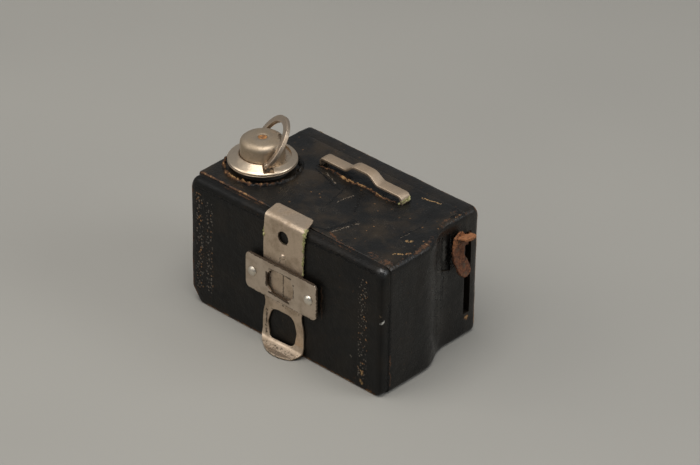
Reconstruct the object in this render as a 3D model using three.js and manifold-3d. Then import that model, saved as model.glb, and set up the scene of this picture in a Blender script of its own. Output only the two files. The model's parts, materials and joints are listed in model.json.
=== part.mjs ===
// A small leather-covered roll-film box camera of the 1890s, as an assembly of its separate pieces.
// Millimetres, +Z up. X runs along the lid, -Y is the lid (the camera's back), +Y is the lens front.
// The origin is the centre of the base: the middle of the width and depth, on the plane it stands on.

import * as THREE from "three";
import { mergeVertices } from "three/addons/utils/BufferGeometryUtils.js";
import Module from "manifold-3d";

const wasm = await Module();
wasm.setup();

// ---------------------------------------------------------------- driving dimensions

const BODY_WIDTH = 100; // across the film chambers and the lid
const BODY_DEPTH = 61; // lid face to front face
const BODY_HEIGHT = 56;
const WALL = 4; // wooden walls of the box
const EDGE_ROUND = 2.2; // rounding of the long edges under the leather
const SHOULDER_STEP = 6; // each side narrows by this much towards the lens
const SHOULDER_START = 23; // from the lid face to where the side starts to curve in
const SHOULDER_LEAD = 9; // straight side left between the curve and the front seam

const FRONT_DEPTH = 8; // front panel, seam to face
const FRONT_WALL = 3;
const FRONT_CORNER = 1.4;
const SCREW_RADIUS = 0.7;
const SCREW_HEAD = 1.3;
const SCREW_FROM_SIDE = 5; // screw axes in from the panel's sides
const SCREW_FROM_EDGE = 2.8; // and from its top and bottom
const SCREW_LENGTH = 6; // into the box

const LID_THICKNESS = 4.2;
const LID_CORNER = 3;
const LID_CUT_X = 4.4; // the bottom left corner of the lid is cut off
const LID_CUT_Z = 6;
const LID_LEFT_DROP = 0.4; // the lid's left end sits below the body's top
const LID_BEVEL = 0.7;
const REBATE_DEPTH = 2.1; // the inner frame that keeps light out of the lid seam
const REBATE_WIDTH = 2.6;

const STRIP_WIDTH = 21; // sliding latch strip
const STRIP_THICKNESS = 0.7;
const STRIP_HOLE = 2.7;
const STRIP_HOLE_DROP = 6.5; // below the top of the body
const HOOK_REACH = 6.9; // the strip's flange over the lid and the body's top
const HOOK_RISE = 0.9; // its free edge is bent up a little
const HOOK_TAPER = 2.2; // and its right end is cut at a slant
const FINGER_HOLE_WIDTH = 15.2;
const FINGER_HOLE_LOW = 2.6;
const FINGER_HOLE_HIGH = 16.4;
const LIP_REACH = 7.4; // the lip at the foot, out from the lid
const GUIDE_WIDTH = 37.3; // riveted plate that guides the strip
const GUIDE_HEIGHT = 16;
const GUIDE_LIFT = 1.2; // its middle above the middle of the lid
const GUIDE_THICKNESS = 0.9;
const GUIDE_CORNER = 2.4;
const GUIDE_WINDOW_WIDTH = 13.6;
const GUIDE_WINDOW_HEIGHT = 10.8;
const RIVET_SPACING = 29.4;
const RIVET_HEAD = 2.1;
const RIVET_SHANK = 1.1;
const WINDOW_RADIUS = 5; // ruby window in the middle of the lid

const KEY_INSET = 14.8; // spool axis from the side of the box
const KEY_SETBACK = 24.1; // spool axis from the lid face
const COLLAR_RADIUS = 11.4;
const COLLAR_BORE = 7.9;
const COLLAR_HEIGHT = 1;
const DISC_RADIUS = 13.66;
const DISC_LIFT = 2.4; // underside of the disc above the leather
const DISC_RIM = 1.9;
const DISC_RISE = 3.6; // chamfered ring above the disc's underside
const DISC_SEAT = 9.2; // the hub stands inside this radius
const BAIL_RECESS = 11.2;
const HUB_RADIUS = 8.8;
const HUB_HEIGHT = 8.6;
const HUB_WALL = 1;
const HUB_ROUND = 2.2;
const SHAFT_RADIUS = 2.5;
const BLADE_WIDTH = 4.4;
const BLADE_THICKNESS = 1.4;
const BAIL_RADIUS = 11.7; // middle of the flat ring's band
const BAIL_BAND = 2.2;
const BAIL_THICKNESS = 1.4;
const BAIL_OFFSET = 4.4; // centre of the ring above its hinge
const BAIL_RAISED = 54; // degrees from flat
const BAIL_TURN = -36; // degrees, direction of the bail's hinge
const BAIL_PIN = 0.6;
const RATCHET_RADIUS = 6;
const RATCHET_TEETH = 12;
const RATCHET_THICKNESS = 1.2;
const CLICK_THICKNESS = 0.35;
const CLICK_SCREW = 0.6;
const CLICK_SCREW_ROOT = 2; // screw in the ceiling

const SPOOL_FLANGE = 8.5;
const SPOOL_FLANGE_THICKNESS = 1;
const SPOOL_CORE = 3.2;
const SPOOL_PIN = 1.2;
const SPOOL_FOOT = 2.2; // clear height under the spools
const SPOOL_HEAD = 2.6; // clear height over the spools, for the ratchet
const SUPPLY_ROLL = 7.4;
const TAKEUP_ROLL = 5.1;
const FILM_THICKNESS = 0.24;
const FILM_MARGIN = 1; // unexposed edge of the film
const FILM_TO_LID = 2.6; // back of the lid to the film
const ROLLER_RADIUS = 2;
const ROLLER_INSET = 4.6; // roller axis inside the spool axis
const ROLLER_PIN = 0.8;
const GATE_GAP = 9.7; // picture edge to spool axis
const GATE_THICKNESS = 1;
const CONE_WALL = 0.8;
const CONE_FRONT = 8; // half width of the cone at the lens end

const BOARD_THICKNESS = 2.6;
const LENS_RADIUS = 5.5;
const CELL_RADIUS = 7;
const BEZEL_RADIUS = 9.5;
const BEZEL_HEIGHT = 0.9;
const LENS_OPENING = 6; // hole in the front panel

const SLOT_WIDTH = 3.3; // lever slot in the side of the front panel
const SLOT_LOW = 10.4;
const SLOT_HIGH = 47;
const SHUTTER_TRAVEL = 20;
const SHUTTER_HEIGHT = 27.4;
const SHUTTER_WIDTH = 24;
const SHUTTER_THICKNESS = 0.8;
const SHUTTER_HOLE = 3.2;
const LEVER_THICKNESS = 1;
const LEVER_LOW = 40.4; // arm of the lever, at rest
const LEVER_HIGH = 46.4;
const LEVER_NECK = 3; // height of the arm outside the slot, under its upper edge
const THUMB_STANDOFF = 1.3; // thumb plate off the side of the box
const THUMB_REACH = 9; // thumb plate back from the slot
const THUMB_LOW = 30;
const THUMB_HIGH = 47;

const BRIDGE_LENGTH = 43;
const BRIDGE_WIDTH = 5;
const BRIDGE_THICKNESS = 1;
const BRIDGE_LIFT = 2.5;
const BRIDGE_HUMP = 2.9;
const BRIDGE_HUMP_LENGTH = 15;
const BRIDGE_SHIFT = 1.3;
const BRIDGE_SETBACK = 10.7; // from the front seam
const BRIDGE_ROOT = 2; // legs sunk in the top

const SEAM = 0.1; // lid to body
const FIT = 0.3; // ordinary clearance round a moving piece
const CLOSE_FIT = 0.15; // clearance round a fixed pin
const ROUND = 28; // sides of a large round piece
const ROUND_SMALL = 16;

// ---------------------------------------------------------------- places worked out from them

const lidFace = -BODY_DEPTH / 2;
const lidInner = lidFace + LID_THICKNESS;
const bodyBack = lidInner + SEAM;
const frontFace = BODY_DEPTH / 2;
const frontSeam = frontFace - FRONT_DEPTH;
const halfWidth = BODY_WIDTH / 2;
const lensHalf = halfWidth - SHOULDER_STEP;
const ceiling = BODY_HEIGHT - WALL;
const opticZ = BODY_HEIGHT / 2;
const spoolX = halfWidth - KEY_INSET;
const spoolY = lidFace + KEY_SETBACK;
const spoolLow = WALL + SPOOL_FOOT;
const spoolHigh = ceiling - SPOOL_HEAD;
const filmLow = spoolLow + SPOOL_FLANGE_THICKNESS + 0.4;
const filmHigh = spoolHigh - SPOOL_FLANGE_THICKNESS - 0.4;
const filmY = lidInner + FILM_TO_LID;
const rollerX = spoolX - ROLLER_INSET;
const rollerY = filmY + FILM_THICKNESS / 2 + ROLLER_RADIUS + 0.1;
const gateHalf = spoolX - GATE_GAP;
const gateY = filmY + FILM_THICKNESS + 0.2;
const boardFront = frontSeam - 0.2;
const boardBack = boardFront - BOARD_THICKNESS;
const stripFace = lidFace - 0.2 - STRIP_THICKNESS;
const guideInner = stripFace - 0.2;
const guideFace = guideInner - GUIDE_THICKNESS;
const discLow = BODY_HEIGHT + DISC_LIFT;
const discFloor = discLow + DISC_RIM;
const hubTop = discFloor + HUB_HEIGHT;
const bailZ = discFloor + 1.4;
const shutterY = frontSeam + 1.2;
const slotFar = frontSeam + SLOT_WIDTH;

// ---------------------------------------------------------------- tools for shapes

// A closed three.js geometry as a solid, facing out whichever way its outline was drawn.
function solid(geometry) {
  const bare = geometry.clone();
  bare.deleteAttribute("normal");
  bare.deleteAttribute("uv");
  const merged = mergeVertices(bare, 1e-4);
  const triangles = new Uint32Array(merged.index.array);
  const make = () =>
    new wasm.Manifold(
      new wasm.Mesh({
        numProp: 3,
        vertProperties: new Float32Array(merged.attributes.position.array),
        triVerts: triangles,
      }),
    );
  const made = make();
  if (made.volume() > 0) return made;
  for (let i = 0; i < triangles.length; i += 3) {
    const second = triangles[i + 1];
    triangles[i + 1] = triangles[i + 2];
    triangles[i + 2] = second;
  }
  return make();
}

const join = (first, ...others) => others.reduce((sum, next) => sum.add(next), first);
const cut = (first, ...others) => others.reduce((left, next) => left.subtract(next), first);

function box(x0, x1, y0, y1, z0, z1) {
  const geometry = new THREE.BoxGeometry(x1 - x0, y1 - y0, z1 - z0);
  return solid(geometry.translate((x0 + x1) / 2, (y0 + y1) / 2, (z0 + z1) / 2));
}

// Round bars along Z and along Y.
function rodZ(radius, x, y, z0, z1, sides = ROUND_SMALL) {
  const geometry = new THREE.CylinderGeometry(radius, radius, z1 - z0, sides);
  return solid(geometry.rotateX(Math.PI / 2).translate(x, y, (z0 + z1) / 2));
}

function rodY(radius, x, z, y0, y1, sides = ROUND_SMALL) {
  const geometry = new THREE.CylinderGeometry(radius, radius, y1 - y0, sides);
  return solid(geometry.translate(x, (y0 + y1) / 2, z));
}

// A profile of [radius, z] points turned round a vertical axis.
function turnedZ(profile, x, y, sides = ROUND) {
  const points = profile.map(([radius, z]) => new THREE.Vector2(radius, z));
  return solid(new THREE.LatheGeometry(points, sides).rotateX(Math.PI / 2).translate(x, y, 0));
}

// A profile of [radius, y] points turned round an axis along Y.
function turnedY(profile, x, z, sides = ROUND) {
  const points = profile.map(([radius, y]) => new THREE.Vector2(radius, y));
  return solid(new THREE.LatheGeometry(points, sides).translate(x, 0, z));
}

// Outlines: in plan (x, y) raised along Z, in front view (x, z) laid along Y, in side view (y, z) along X.
function raised(shape, z0, z1, bevel = 0) {
  return solid(extruded(shape, z1 - z0, bevel).translate(0, 0, z0));
}

function alongY(shape, y0, y1, bevel = 0) {
  return solid(extruded(shape, y1 - y0, bevel).rotateX(Math.PI / 2).translate(0, y1, 0));
}

function alongX(shape, x0, x1) {
  const turn = new THREE.Matrix4().makeBasis(
    new THREE.Vector3(0, 1, 0),
    new THREE.Vector3(0, 0, 1),
    new THREE.Vector3(1, 0, 0),
  );
  return solid(extruded(shape, x1 - x0, 0).applyMatrix4(turn).translate(x0, 0, 0));
}

function extruded(shape, depth, bevel) {
  const geometry = new THREE.ExtrudeGeometry(shape, {
    depth: depth - 2 * bevel,
    curveSegments: 6,
    bevelEnabled: bevel > 0,
    bevelThickness: bevel,
    bevelSize: bevel,
    bevelOffset: -bevel,
    bevelSegments: 2,
  });
  return geometry.translate(0, 0, bevel);
}

function outline(points) {
  return new THREE.Shape(points.map(([a, b]) => new THREE.Vector2(a, b)));
}

// A rectangle with rounded corners.
function roundedRect(a0, a1, b0, b1, radius) {
  const shape = new THREE.Shape();
  shape.moveTo(a0 + radius, b0);
  shape.lineTo(a1 - radius, b0);
  shape.absarc(a1 - radius, b0 + radius, radius, -Math.PI / 2, 0);
  shape.lineTo(a1, b1 - radius);
  shape.absarc(a1 - radius, b1 - radius, radius, 0, Math.PI / 2);
  shape.lineTo(a0 + radius, b1);
  shape.absarc(a0 + radius, b1 - radius, radius, Math.PI / 2, Math.PI);
  shape.lineTo(a0, b0 + radius);
  shape.absarc(a0 + radius, b0 + radius, radius, Math.PI, Math.PI * 1.5);
  return shape;
}

// A strip of even thickness bent along a line of [a, b] points, as a closed outline.
function bentStrip(points, thickness) {
  const line = points.map(([a, b]) => new THREE.Vector2(a, b));
  const side = line.map((point, i) => {
    const before = line[Math.max(i - 1, 0)];
    const after = line[Math.min(i + 1, line.length - 1)];
    const into = point.clone().sub(before).normalize();
    const out = after.clone().sub(point).normalize();
    const along = into.clone().add(out).normalize();
    const square = new THREE.Vector2(-along.y, along.x);
    const widen = i > 0 && i < line.length - 1 ? 1 / Math.max(along.dot(out), 0.5) : 1;
    return point.clone().add(square.multiplyScalar(thickness * widen));
  });
  return new THREE.Shape([...line, ...side.reverse()]);
}

// A box whose two ends along Y have different half widths and half heights.
function taperedBox(near, far, y0, y1) {
  const geometry = new THREE.BoxGeometry(2, y1 - y0, 2).translate(0, (y0 + y1) / 2, 0);
  const place = geometry.attributes.position;
  for (let i = 0; i < place.count; i += 1) {
    const half = place.getY(i) > (y0 + y1) / 2 ? far : near;
    place.setX(i, place.getX(i) * half[0]);
    place.setZ(i, place.getZ(i) * half[1]);
  }
  return solid(geometry.translate(0, 0, opticZ));
}

// ---------------------------------------------------------------- materials

const finish = (color, roughness, metalness = 0) =>
  new THREE.MeshStandardMaterial({ color, roughness, metalness });

const leather = finish(0x2a2826, 0.5);
const wood = finish(0x6b4a2c, 0.7);
const blackCard = finish(0x161514, 0.9);
const nickel = finish(0xb0a694, 0.35, 1);
const brass = finish(0xa88a4c, 0.4, 1);
const rust = finish(0x8a4a28, 0.85, 0.3);
const steel = finish(0x77726a, 0.5, 1);
const glass = finish(0xd8e4e0, 0.05);
const ruby = finish(0x7a1512, 0.15);
const film = finish(0x3a2f28, 0.6);

const camera = new THREE.Group();

function piece(name, made, material, holder = camera) {
  const mesh = made.getMesh();
  const count = mesh.numVert;
  const places = new Float32Array(count * 3);
  for (let i = 0; i < count; i += 1) {
    places.set(mesh.vertProperties.subarray(i * mesh.numProp, i * mesh.numProp + 3), i * 3);
  }
  const geometry = new THREE.BufferGeometry();
  geometry.setAttribute("position", new THREE.BufferAttribute(places, 3));
  geometry.setIndex(new THREE.BufferAttribute(new Uint32Array(mesh.triVerts), 1));
  geometry.computeVertexNormals();
  const node = new THREE.Mesh(geometry, material);
  node.name = name;
  holder.add(node);
}

// ---------------------------------------------------------------- box and front panel

// Plan of the T-shaped box, drawn past both ends so that the rounded edges run straight out of them.
function boxPlan(half, y0, y1) {
  const start = lidFace + SHOULDER_START;
  const end = frontSeam - SHOULDER_LEAD;
  const middle = (start + end) / 2;
  const narrow = half - SHOULDER_STEP;
  const shape = new THREE.Shape();
  shape.moveTo(-half, y0);
  shape.lineTo(half, y0);
  shape.lineTo(half, start);
  shape.bezierCurveTo(half, middle, narrow, middle, narrow, end);
  shape.lineTo(narrow, y1);
  shape.lineTo(-narrow, y1);
  shape.lineTo(-narrow, end);
  shape.bezierCurveTo(-narrow, middle, -half, middle, -half, start);
  return shape;
}

const frontScrewX = lensHalf - SCREW_FROM_SIDE;
const frontScrewZ = [SCREW_FROM_EDGE, BODY_HEIGHT - SCREW_FROM_EDGE];
const clickScrewFromAxis = [RATCHET_RADIUS + 6, RATCHET_RADIUS + 5];
const bridgeY = frontSeam - BRIDGE_SETBACK;
const bridgeLeft = BRIDGE_SHIFT - BRIDGE_LENGTH / 2;
const bridgeRight = BRIDGE_SHIFT + BRIDGE_LENGTH / 2;

function bodyShell() {
  const past = 6;
  const outer = raised(
    boxPlan(halfWidth, bodyBack - past, frontSeam + past), 0, BODY_HEIGHT, EDGE_ROUND);
  const inner = raised(boxPlan(halfWidth - WALL, bodyBack - past, frontSeam + past), WALL, ceiling);
  const kept = box(-halfWidth, halfWidth, bodyBack, frontSeam, 0, BODY_HEIGHT);
  let shell = cut(outer.intersect(kept), inner);
  shell = cut(shell, rodZ(SHAFT_RADIUS + FIT, -spoolX, spoolY, ceiling - 1, BODY_HEIGHT + 1, ROUND));
  for (const side of [-1, 1]) {
    for (const z of frontScrewZ) {
      const hole = rodY(SCREW_RADIUS + CLOSE_FIT, side * frontScrewX, z,
        frontSeam - SCREW_LENGTH - 0.2, frontSeam + 1);
      shell = cut(shell, hole);
    }
  }
  for (const x of [bridgeLeft, bridgeRight - BRIDGE_THICKNESS]) {
    const pocket = box(x - CLOSE_FIT, x + BRIDGE_THICKNESS + CLOSE_FIT,
      bridgeY - BRIDGE_WIDTH / 2 - CLOSE_FIT, bridgeY + BRIDGE_WIDTH / 2 + CLOSE_FIT,
      BODY_HEIGHT - BRIDGE_ROOT, BODY_HEIGHT + 1);
    shell = cut(shell, pocket);
  }
  const [clickX, clickY] = clickScrewFromAxis;
  shell = cut(shell, rodZ(CLICK_SCREW + CLOSE_FIT, clickX - spoolX, clickY + spoolY, ceiling - 1,
    ceiling + CLICK_SCREW_ROOT + CLOSE_FIT));
  piece("body_shell", shell, leather);
}

function frontPanel() {
  const past = 6;
  const square = outline([
    [-lensHalf, frontSeam - past],
    [lensHalf, frontSeam - past],
    [lensHalf, frontFace],
    [-lensHalf, frontFace],
  ]);
  const plan = roundedRect(-lensHalf, lensHalf, frontSeam - past, frontFace, FRONT_CORNER);
  const outer = raised(square, 0, BODY_HEIGHT, EDGE_ROUND).intersect(raised(plan, 0, BODY_HEIGHT));
  const kept = box(-lensHalf, lensHalf, frontSeam, frontFace, 0, BODY_HEIGHT);
  const hollow = box(-lensHalf + WALL, lensHalf - WALL, frontSeam - 1, frontFace - FRONT_WALL,
    WALL, ceiling);
  const slot = box(lensHalf - WALL - 1, lensHalf + 1, frontSeam - 1, slotFar, SLOT_LOW, SLOT_HIGH);
  const opening = rodY(LENS_OPENING, 0, opticZ, frontFace - FRONT_WALL - 1, frontFace + 1, ROUND);
  let panel = cut(outer.intersect(kept), hollow, slot, opening);
  for (const side of [-1, 1]) {
    for (const z of frontScrewZ) {
      const hole = rodY(SCREW_RADIUS + CLOSE_FIT, side * frontScrewX, z, frontSeam - 1, frontFace + 1);
      const sink = rodY(SCREW_HEAD + CLOSE_FIT, side * frontScrewX, z, frontFace - 1, frontFace + 1);
      panel = cut(panel, hole, sink);
    }
  }
  piece("front_panel", panel, leather);
}

function frontScrews() {
  let number = 1;
  for (const side of [-1, 1]) {
    for (const z of frontScrewZ) {
      const x = side * frontScrewX;
      const shank = rodY(SCREW_RADIUS, x, z, frontSeam - SCREW_LENGTH, frontFace - 0.5);
      const head = rodY(SCREW_HEAD, x, z, frontFace - 1, frontFace - 0.2);
      const slit = box(x - 0.2, x + 0.2, frontFace - 0.5, frontFace, z - SCREW_HEAD, z + SCREW_HEAD);
      piece(`front_screw_${number}`, cut(join(shank, head), slit), brass);
      number += 1;
    }
  }
}

function lensBezel() {
  const ring = turnedY([
    [LENS_OPENING - 1.2, frontFace],
    [BEZEL_RADIUS, frontFace],
    [BEZEL_RADIUS - 0.4, frontFace + BEZEL_HEIGHT],
    [LENS_OPENING, frontFace + BEZEL_HEIGHT],
    [LENS_OPENING - 1.2, frontFace],
  ], 0, opticZ);
  piece("lens_bezel", ring, nickel);
}

// ---------------------------------------------------------------- lens board, lens and shutter

function lensBoard() {
  const board = box(-lensHalf + WALL + CLOSE_FIT, lensHalf - WALL - CLOSE_FIT, boardBack, boardFront,
    WALL, ceiling);
  piece("shutter_board", cut(board, rodY(CELL_RADIUS + CLOSE_FIT, 0, opticZ, boardBack - 1,
    boardFront + 1, ROUND)), wood);
}

function lensGroup() {
  const cellBack = boardBack - 0.8;
  const cell = turnedY([
    [LENS_RADIUS - 0.7, boardFront - 0.9],
    [LENS_RADIUS - 0.7, boardFront - 0.1],
    [CELL_RADIUS, boardFront - 0.1],
    [CELL_RADIUS, cellBack],
    [LENS_RADIUS + 0.1, cellBack],
    [LENS_RADIUS + 0.1, boardFront - 0.9],
    [LENS_RADIUS - 0.7, boardFront - 0.9],
  ], 0, opticZ);
  piece("lens_cell", cell, brass);
  const rim = boardFront - 1;
  const lens = turnedY([
    [0, rim - 1.5],
    [2.2, rim - 1.4],
    [4, rim - 1.15],
    [LENS_RADIUS, rim - 0.8],
    [LENS_RADIUS, rim],
    [4, rim - 0.35],
    [2.2, rim - 0.6],
    [0, rim - 0.7],
  ], 0, opticZ);
  piece("lens_element", lens, glass);
  const ring = turnedY([
    [LENS_RADIUS - 1, cellBack],
    [LENS_RADIUS, cellBack],
    [LENS_RADIUS, rim - 0.9],
    [LENS_RADIUS - 1, rim - 1.3],
    [LENS_RADIUS - 1, cellBack],
  ], 0, opticZ);
  piece("lens_retaining_ring", ring, brass);
}

const railInner = SHUTTER_WIDTH / 2;
const RAIL_WIDTH = 4;
const railFront = shutterY + SHUTTER_THICKNESS + 0.9;

// Two channels on the lens board hold the edges of the sliding plate.
function shutterRails() {
  for (const [name, side] of [["left", -1], ["right", 1]]) {
    const x0 = side * (railInner + FIT);
    const x1 = side * (railInner + FIT + RAIL_WIDTH);
    const lipEdge = side * (railInner - 1.4);
    const low = WALL + 0.3;
    const high = ceiling - 0.3;
    const block = box(Math.min(x0, x1), Math.max(x0, x1), boardFront, shutterY + SHUTTER_THICKNESS + 0.2,
      low, high);
    const lip = box(Math.min(lipEdge, x1), Math.max(lipEdge, x1),
      shutterY + SHUTTER_THICKNESS + 0.2, railFront, low, high);
    let rail = join(block, lip);
    if (side > 0) {
      const pass = box(lipEdge - 1, x1 + 1, shutterY - 0.3, railFront + 1,
        LEVER_LOW - SHUTTER_TRAVEL - FIT, LEVER_HIGH + FIT);
      rail = cut(rail, pass);
    }
    const screws = side > 0 ? [low + 4, high - 3.5] : [low + 4, high - 4];
    screws.forEach((z, i) => {
      const x = side * (railInner + FIT + RAIL_WIDTH / 2);
      rail = cut(rail, rodY(0.7 + CLOSE_FIT, x, z, boardFront - 1, railFront + 1));
      const shank = rodY(0.7, x, z, boardFront, railFront + 0.1);
      const head = rodY(1.3, x, z, railFront + 0.05, railFront + 0.55);
      piece(`rail_screw_${name}_${i + 1}`, join(shank, head), brass);
    });
    piece(`shutter_rail_${name}`, rail, blackCard);
  }
}

const leverRivetX = railInner - 5;

function shutterParts() {
  const high = ceiling - 0.3;
  const low = high - SHUTTER_HEIGHT;
  const plateOutline = roundedRect(-railInner, railInner, low, high, 0.8);
  const hole = new THREE.Path();
  const holeZ = opticZ + SHUTTER_TRAVEL / 2;
  hole.absarc(0, holeZ, SHUTTER_HOLE, 0, Math.PI * 2);
  plateOutline.holes.push(hole);
  let plate = alongY(plateOutline, shutterY, shutterY + SHUTTER_THICKNESS);
  const rivetPlaces = [-1.8, 1.8].map((dz) => (LEVER_LOW + LEVER_HIGH) / 2 + dz);
  const armBack = shutterY + SHUTTER_THICKNESS;
  let lever = leverSolid(armBack);
  rivetPlaces.forEach((z, i) => {
    const bore = rodY(0.6 + CLOSE_FIT, leverRivetX, z, shutterY - 1, armBack + LEVER_THICKNESS + 1);
    plate = cut(plate, bore);
    lever = cut(lever, bore);
    const shank = rodY(0.6, leverRivetX, z, shutterY - 0.1, armBack + LEVER_THICKNESS + 0.1);
    const head = rodY(1.1, leverRivetX, z, armBack + LEVER_THICKNESS + 0.05,
      armBack + LEVER_THICKNESS + 0.5);
    piece(`lever_rivet_${i + 1}`, join(shank, head), brass);
  });
  piece("shutter_plate", plate, blackCard);
  piece("shutter_lever", lever, rust);
}

// The lever: an arm out through the slot, bent back along the side of the box into a thumb plate
// with a rounded tongue that leans outwards and a tab bent out at the top.
function leverSolid(armBack) {
  const thumbX = lensHalf + THUMB_STANDOFF;
  const tongueOut = 3.2;
  const armFront = armBack + LEVER_THICKNESS;
  const thumbEdge = frontSeam - THUMB_REACH;
  const neckLow = LEVER_HIGH - LEVER_NECK;
  const inside = box(leverRivetX - 2.2, lensHalf - 1, armBack, armFront, LEVER_LOW, LEVER_HIGH);
  const outside = box(lensHalf - 1.1, thumbX + LEVER_THICKNESS, armBack, armFront, neckLow, LEVER_HIGH);
  const arm = join(inside, outside);
  const bend = bentStrip([
    [thumbX + tongueOut, THUMB_LOW],
    [thumbX + 1.2, THUMB_LOW + 4],
    [thumbX, THUMB_LOW + 9],
    [thumbX, THUMB_HIGH - 1.6],
    [thumbX + 0.9, THUMB_HIGH],
    [thumbX + 5.2, THUMB_HIGH + 1.6],
  ], -LEVER_THICKNESS);
  const sheet = alongY(bend, thumbEdge, armFront);
  const side = new THREE.Shape();
  side.moveTo(thumbEdge, THUMB_HIGH + 4);
  side.lineTo(thumbEdge, LEVER_LOW + 2);
  side.lineTo(thumbEdge + 2.4, THUMB_LOW + 3.2);
  side.absarc(thumbEdge + 5.1, THUMB_LOW + 2.6, 2.7, Math.PI, Math.PI * 2);
  side.lineTo(thumbEdge + 7.8, THUMB_LOW + 5.6);
  side.lineTo(thumbEdge + 6.4, LEVER_LOW - 1.6);
  side.lineTo(thumbEdge + 6.4, neckLow);
  side.lineTo(armFront, neckLow);
  side.lineTo(armFront, LEVER_HIGH);
  side.lineTo(frontSeam - 0.6, LEVER_HIGH + 0.3);
  side.lineTo(frontSeam - 0.6, THUMB_HIGH + 4);
  const trimmed = sheet.intersect(alongX(side, lensHalf, lensHalf + 12));
  const plan = roundedRect(lensHalf, thumbX + 6.2, thumbEdge, armFront + 2, 2.4);
  return join(arm, trimmed.intersect(raised(plan, 0, BODY_HEIGHT)));
}

// ---------------------------------------------------------------- light cone and film path

const gateHigh = filmHigh - FILM_MARGIN - opticZ;
const gateLow = opticZ - filmLow - FILM_MARGIN;
const gateTall = Math.min(gateHigh, gateLow);

function lightCone() {
  const coneBack = gateY + GATE_THICKNESS;
  const outer = taperedBox([gateHalf + CONE_WALL, gateTall + CONE_WALL],
    [CONE_FRONT, CONE_FRONT], coneBack, boardBack);
  const inner = taperedBox([gateHalf, gateTall],
    [CONE_FRONT - CONE_WALL, CONE_FRONT - CONE_WALL], coneBack - 0.01, boardBack + 0.01);
  piece("light_cone", cut(outer, inner), blackCard);
  const half = rollerX - ROLLER_RADIUS - 0.8;
  const plate = alongY(roundedRect(-half, half, WALL, ceiling, 0.5), gateY, gateY + GATE_THICKNESS);
  const window = box(-gateHalf, gateHalf, gateY - 1, gateY + 2, opticZ - gateTall, opticZ + gateTall);
  piece("film_gate", cut(plate, window), blackCard);
}

function spool(x, slotted) {
  let made = turnedZ([
    [0, spoolLow],
    [SPOOL_FLANGE, spoolLow],
    [SPOOL_FLANGE, spoolLow + SPOOL_FLANGE_THICKNESS],
    [SPOOL_CORE, spoolLow + SPOOL_FLANGE_THICKNESS],
    [SPOOL_CORE, spoolHigh - SPOOL_FLANGE_THICKNESS],
    [SPOOL_FLANGE, spoolHigh - SPOOL_FLANGE_THICKNESS],
    [SPOOL_FLANGE, spoolHigh],
    [0, spoolHigh],
  ], x, spoolY);
  made = cut(made, rodZ(SPOOL_PIN + CLOSE_FIT, x, spoolY, spoolLow - 1, spoolLow + 5));
  if (slotted) {
    const across = BLADE_WIDTH / 2 + CLOSE_FIT;
    const along = BLADE_THICKNESS / 2 + CLOSE_FIT;
    return cut(made, box(x - across, x + across, spoolY - along, spoolY + along, spoolHigh - 5,
      spoolHigh + 1));
  }
  return cut(made, rodZ(SPOOL_PIN + CLOSE_FIT, x, spoolY, spoolHigh - 5, spoolHigh + 1));
}

function spoolsAndFilm() {
  piece("takeup_spool", spool(-spoolX, true), wood);
  piece("supply_spool", spool(spoolX, false), wood);
  const pin = (x, z0, z1) => rodZ(SPOOL_PIN, x, spoolY, z0, z1);
  piece("spool_pin_takeup", pin(-spoolX, WALL, spoolLow + 4), steel);
  piece("spool_pin_supply_low", pin(spoolX, WALL, spoolLow + 4), steel);
  piece("spool_pin_supply_high", pin(spoolX, spoolHigh - 4, ceiling), steel);
  const roll = (x, radius) => turnedZ([
    [SPOOL_CORE + 0.1, filmLow],
    [radius, filmLow],
    [radius, filmHigh],
    [SPOOL_CORE + 0.1, filmHigh],
    [SPOOL_CORE + 0.1, filmLow],
  ], x, spoolY);
  piece("supply_film_roll", roll(spoolX, SUPPLY_ROLL), film);
  piece("takeup_film_roll", roll(-spoolX, TAKEUP_ROLL), film);
}

// The film leaves each roll on its outer side, bends round a guide roller and crosses the gate.
function filmStrip() {
  const round = ROLLER_RADIUS + 0.25;
  const half = (side, rollRadius) => {
    const points = [];
    const leave = rollRadius + FIT + FILM_THICKNESS;
    const rollAt = new THREE.Vector2(side * spoolX, spoolY);
    const rollerAt = new THREE.Vector2(side * rollerX, rollerY);
    const across = rollAt.clone().sub(rollerAt);
    const lean = Math.atan2(side * across.x, across.y);
    const open = Math.asin((leave - round) / across.length());
    const tilt = lean + open;
    const outward = new THREE.Vector2(side * Math.cos(tilt), -Math.sin(tilt));
    points.push(rollAt.clone().addScaledVector(outward, leave));
    const steps = 5;
    for (let i = 0; i <= steps; i += 1) {
      const angle = tilt + ((Math.PI / 2 - tilt) * i) / steps;
      points.push(new THREE.Vector2(
        rollerAt.x + side * round * Math.cos(angle),
        rollerAt.y - round * Math.sin(angle),
      ));
    }
    return points;
  };
  const line = [...half(-1, TAKEUP_ROLL), ...half(1, SUPPLY_ROLL).reverse()];
  const strip = bentStrip(line.map((point) => [point.x, point.y]), -FILM_THICKNESS);
  piece("film_strip", raised(strip, filmLow, filmHigh), film);
}

function guideRollers() {
  for (const [name, side] of [["left", -1], ["right", 1]]) {
    const x = side * rollerX;
    const roller = rodZ(ROLLER_RADIUS, x, rollerY, spoolLow, spoolHigh, ROUND_SMALL);
    const bore = rodZ(ROLLER_PIN + CLOSE_FIT, x, rollerY, WALL, ceiling);
    piece(`guide_roller_${name}`, cut(roller, bore), nickel);
    piece(`roller_pin_${name}`, rodZ(ROLLER_PIN, x, rollerY, WALL, ceiling), steel);
  }
}

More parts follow.
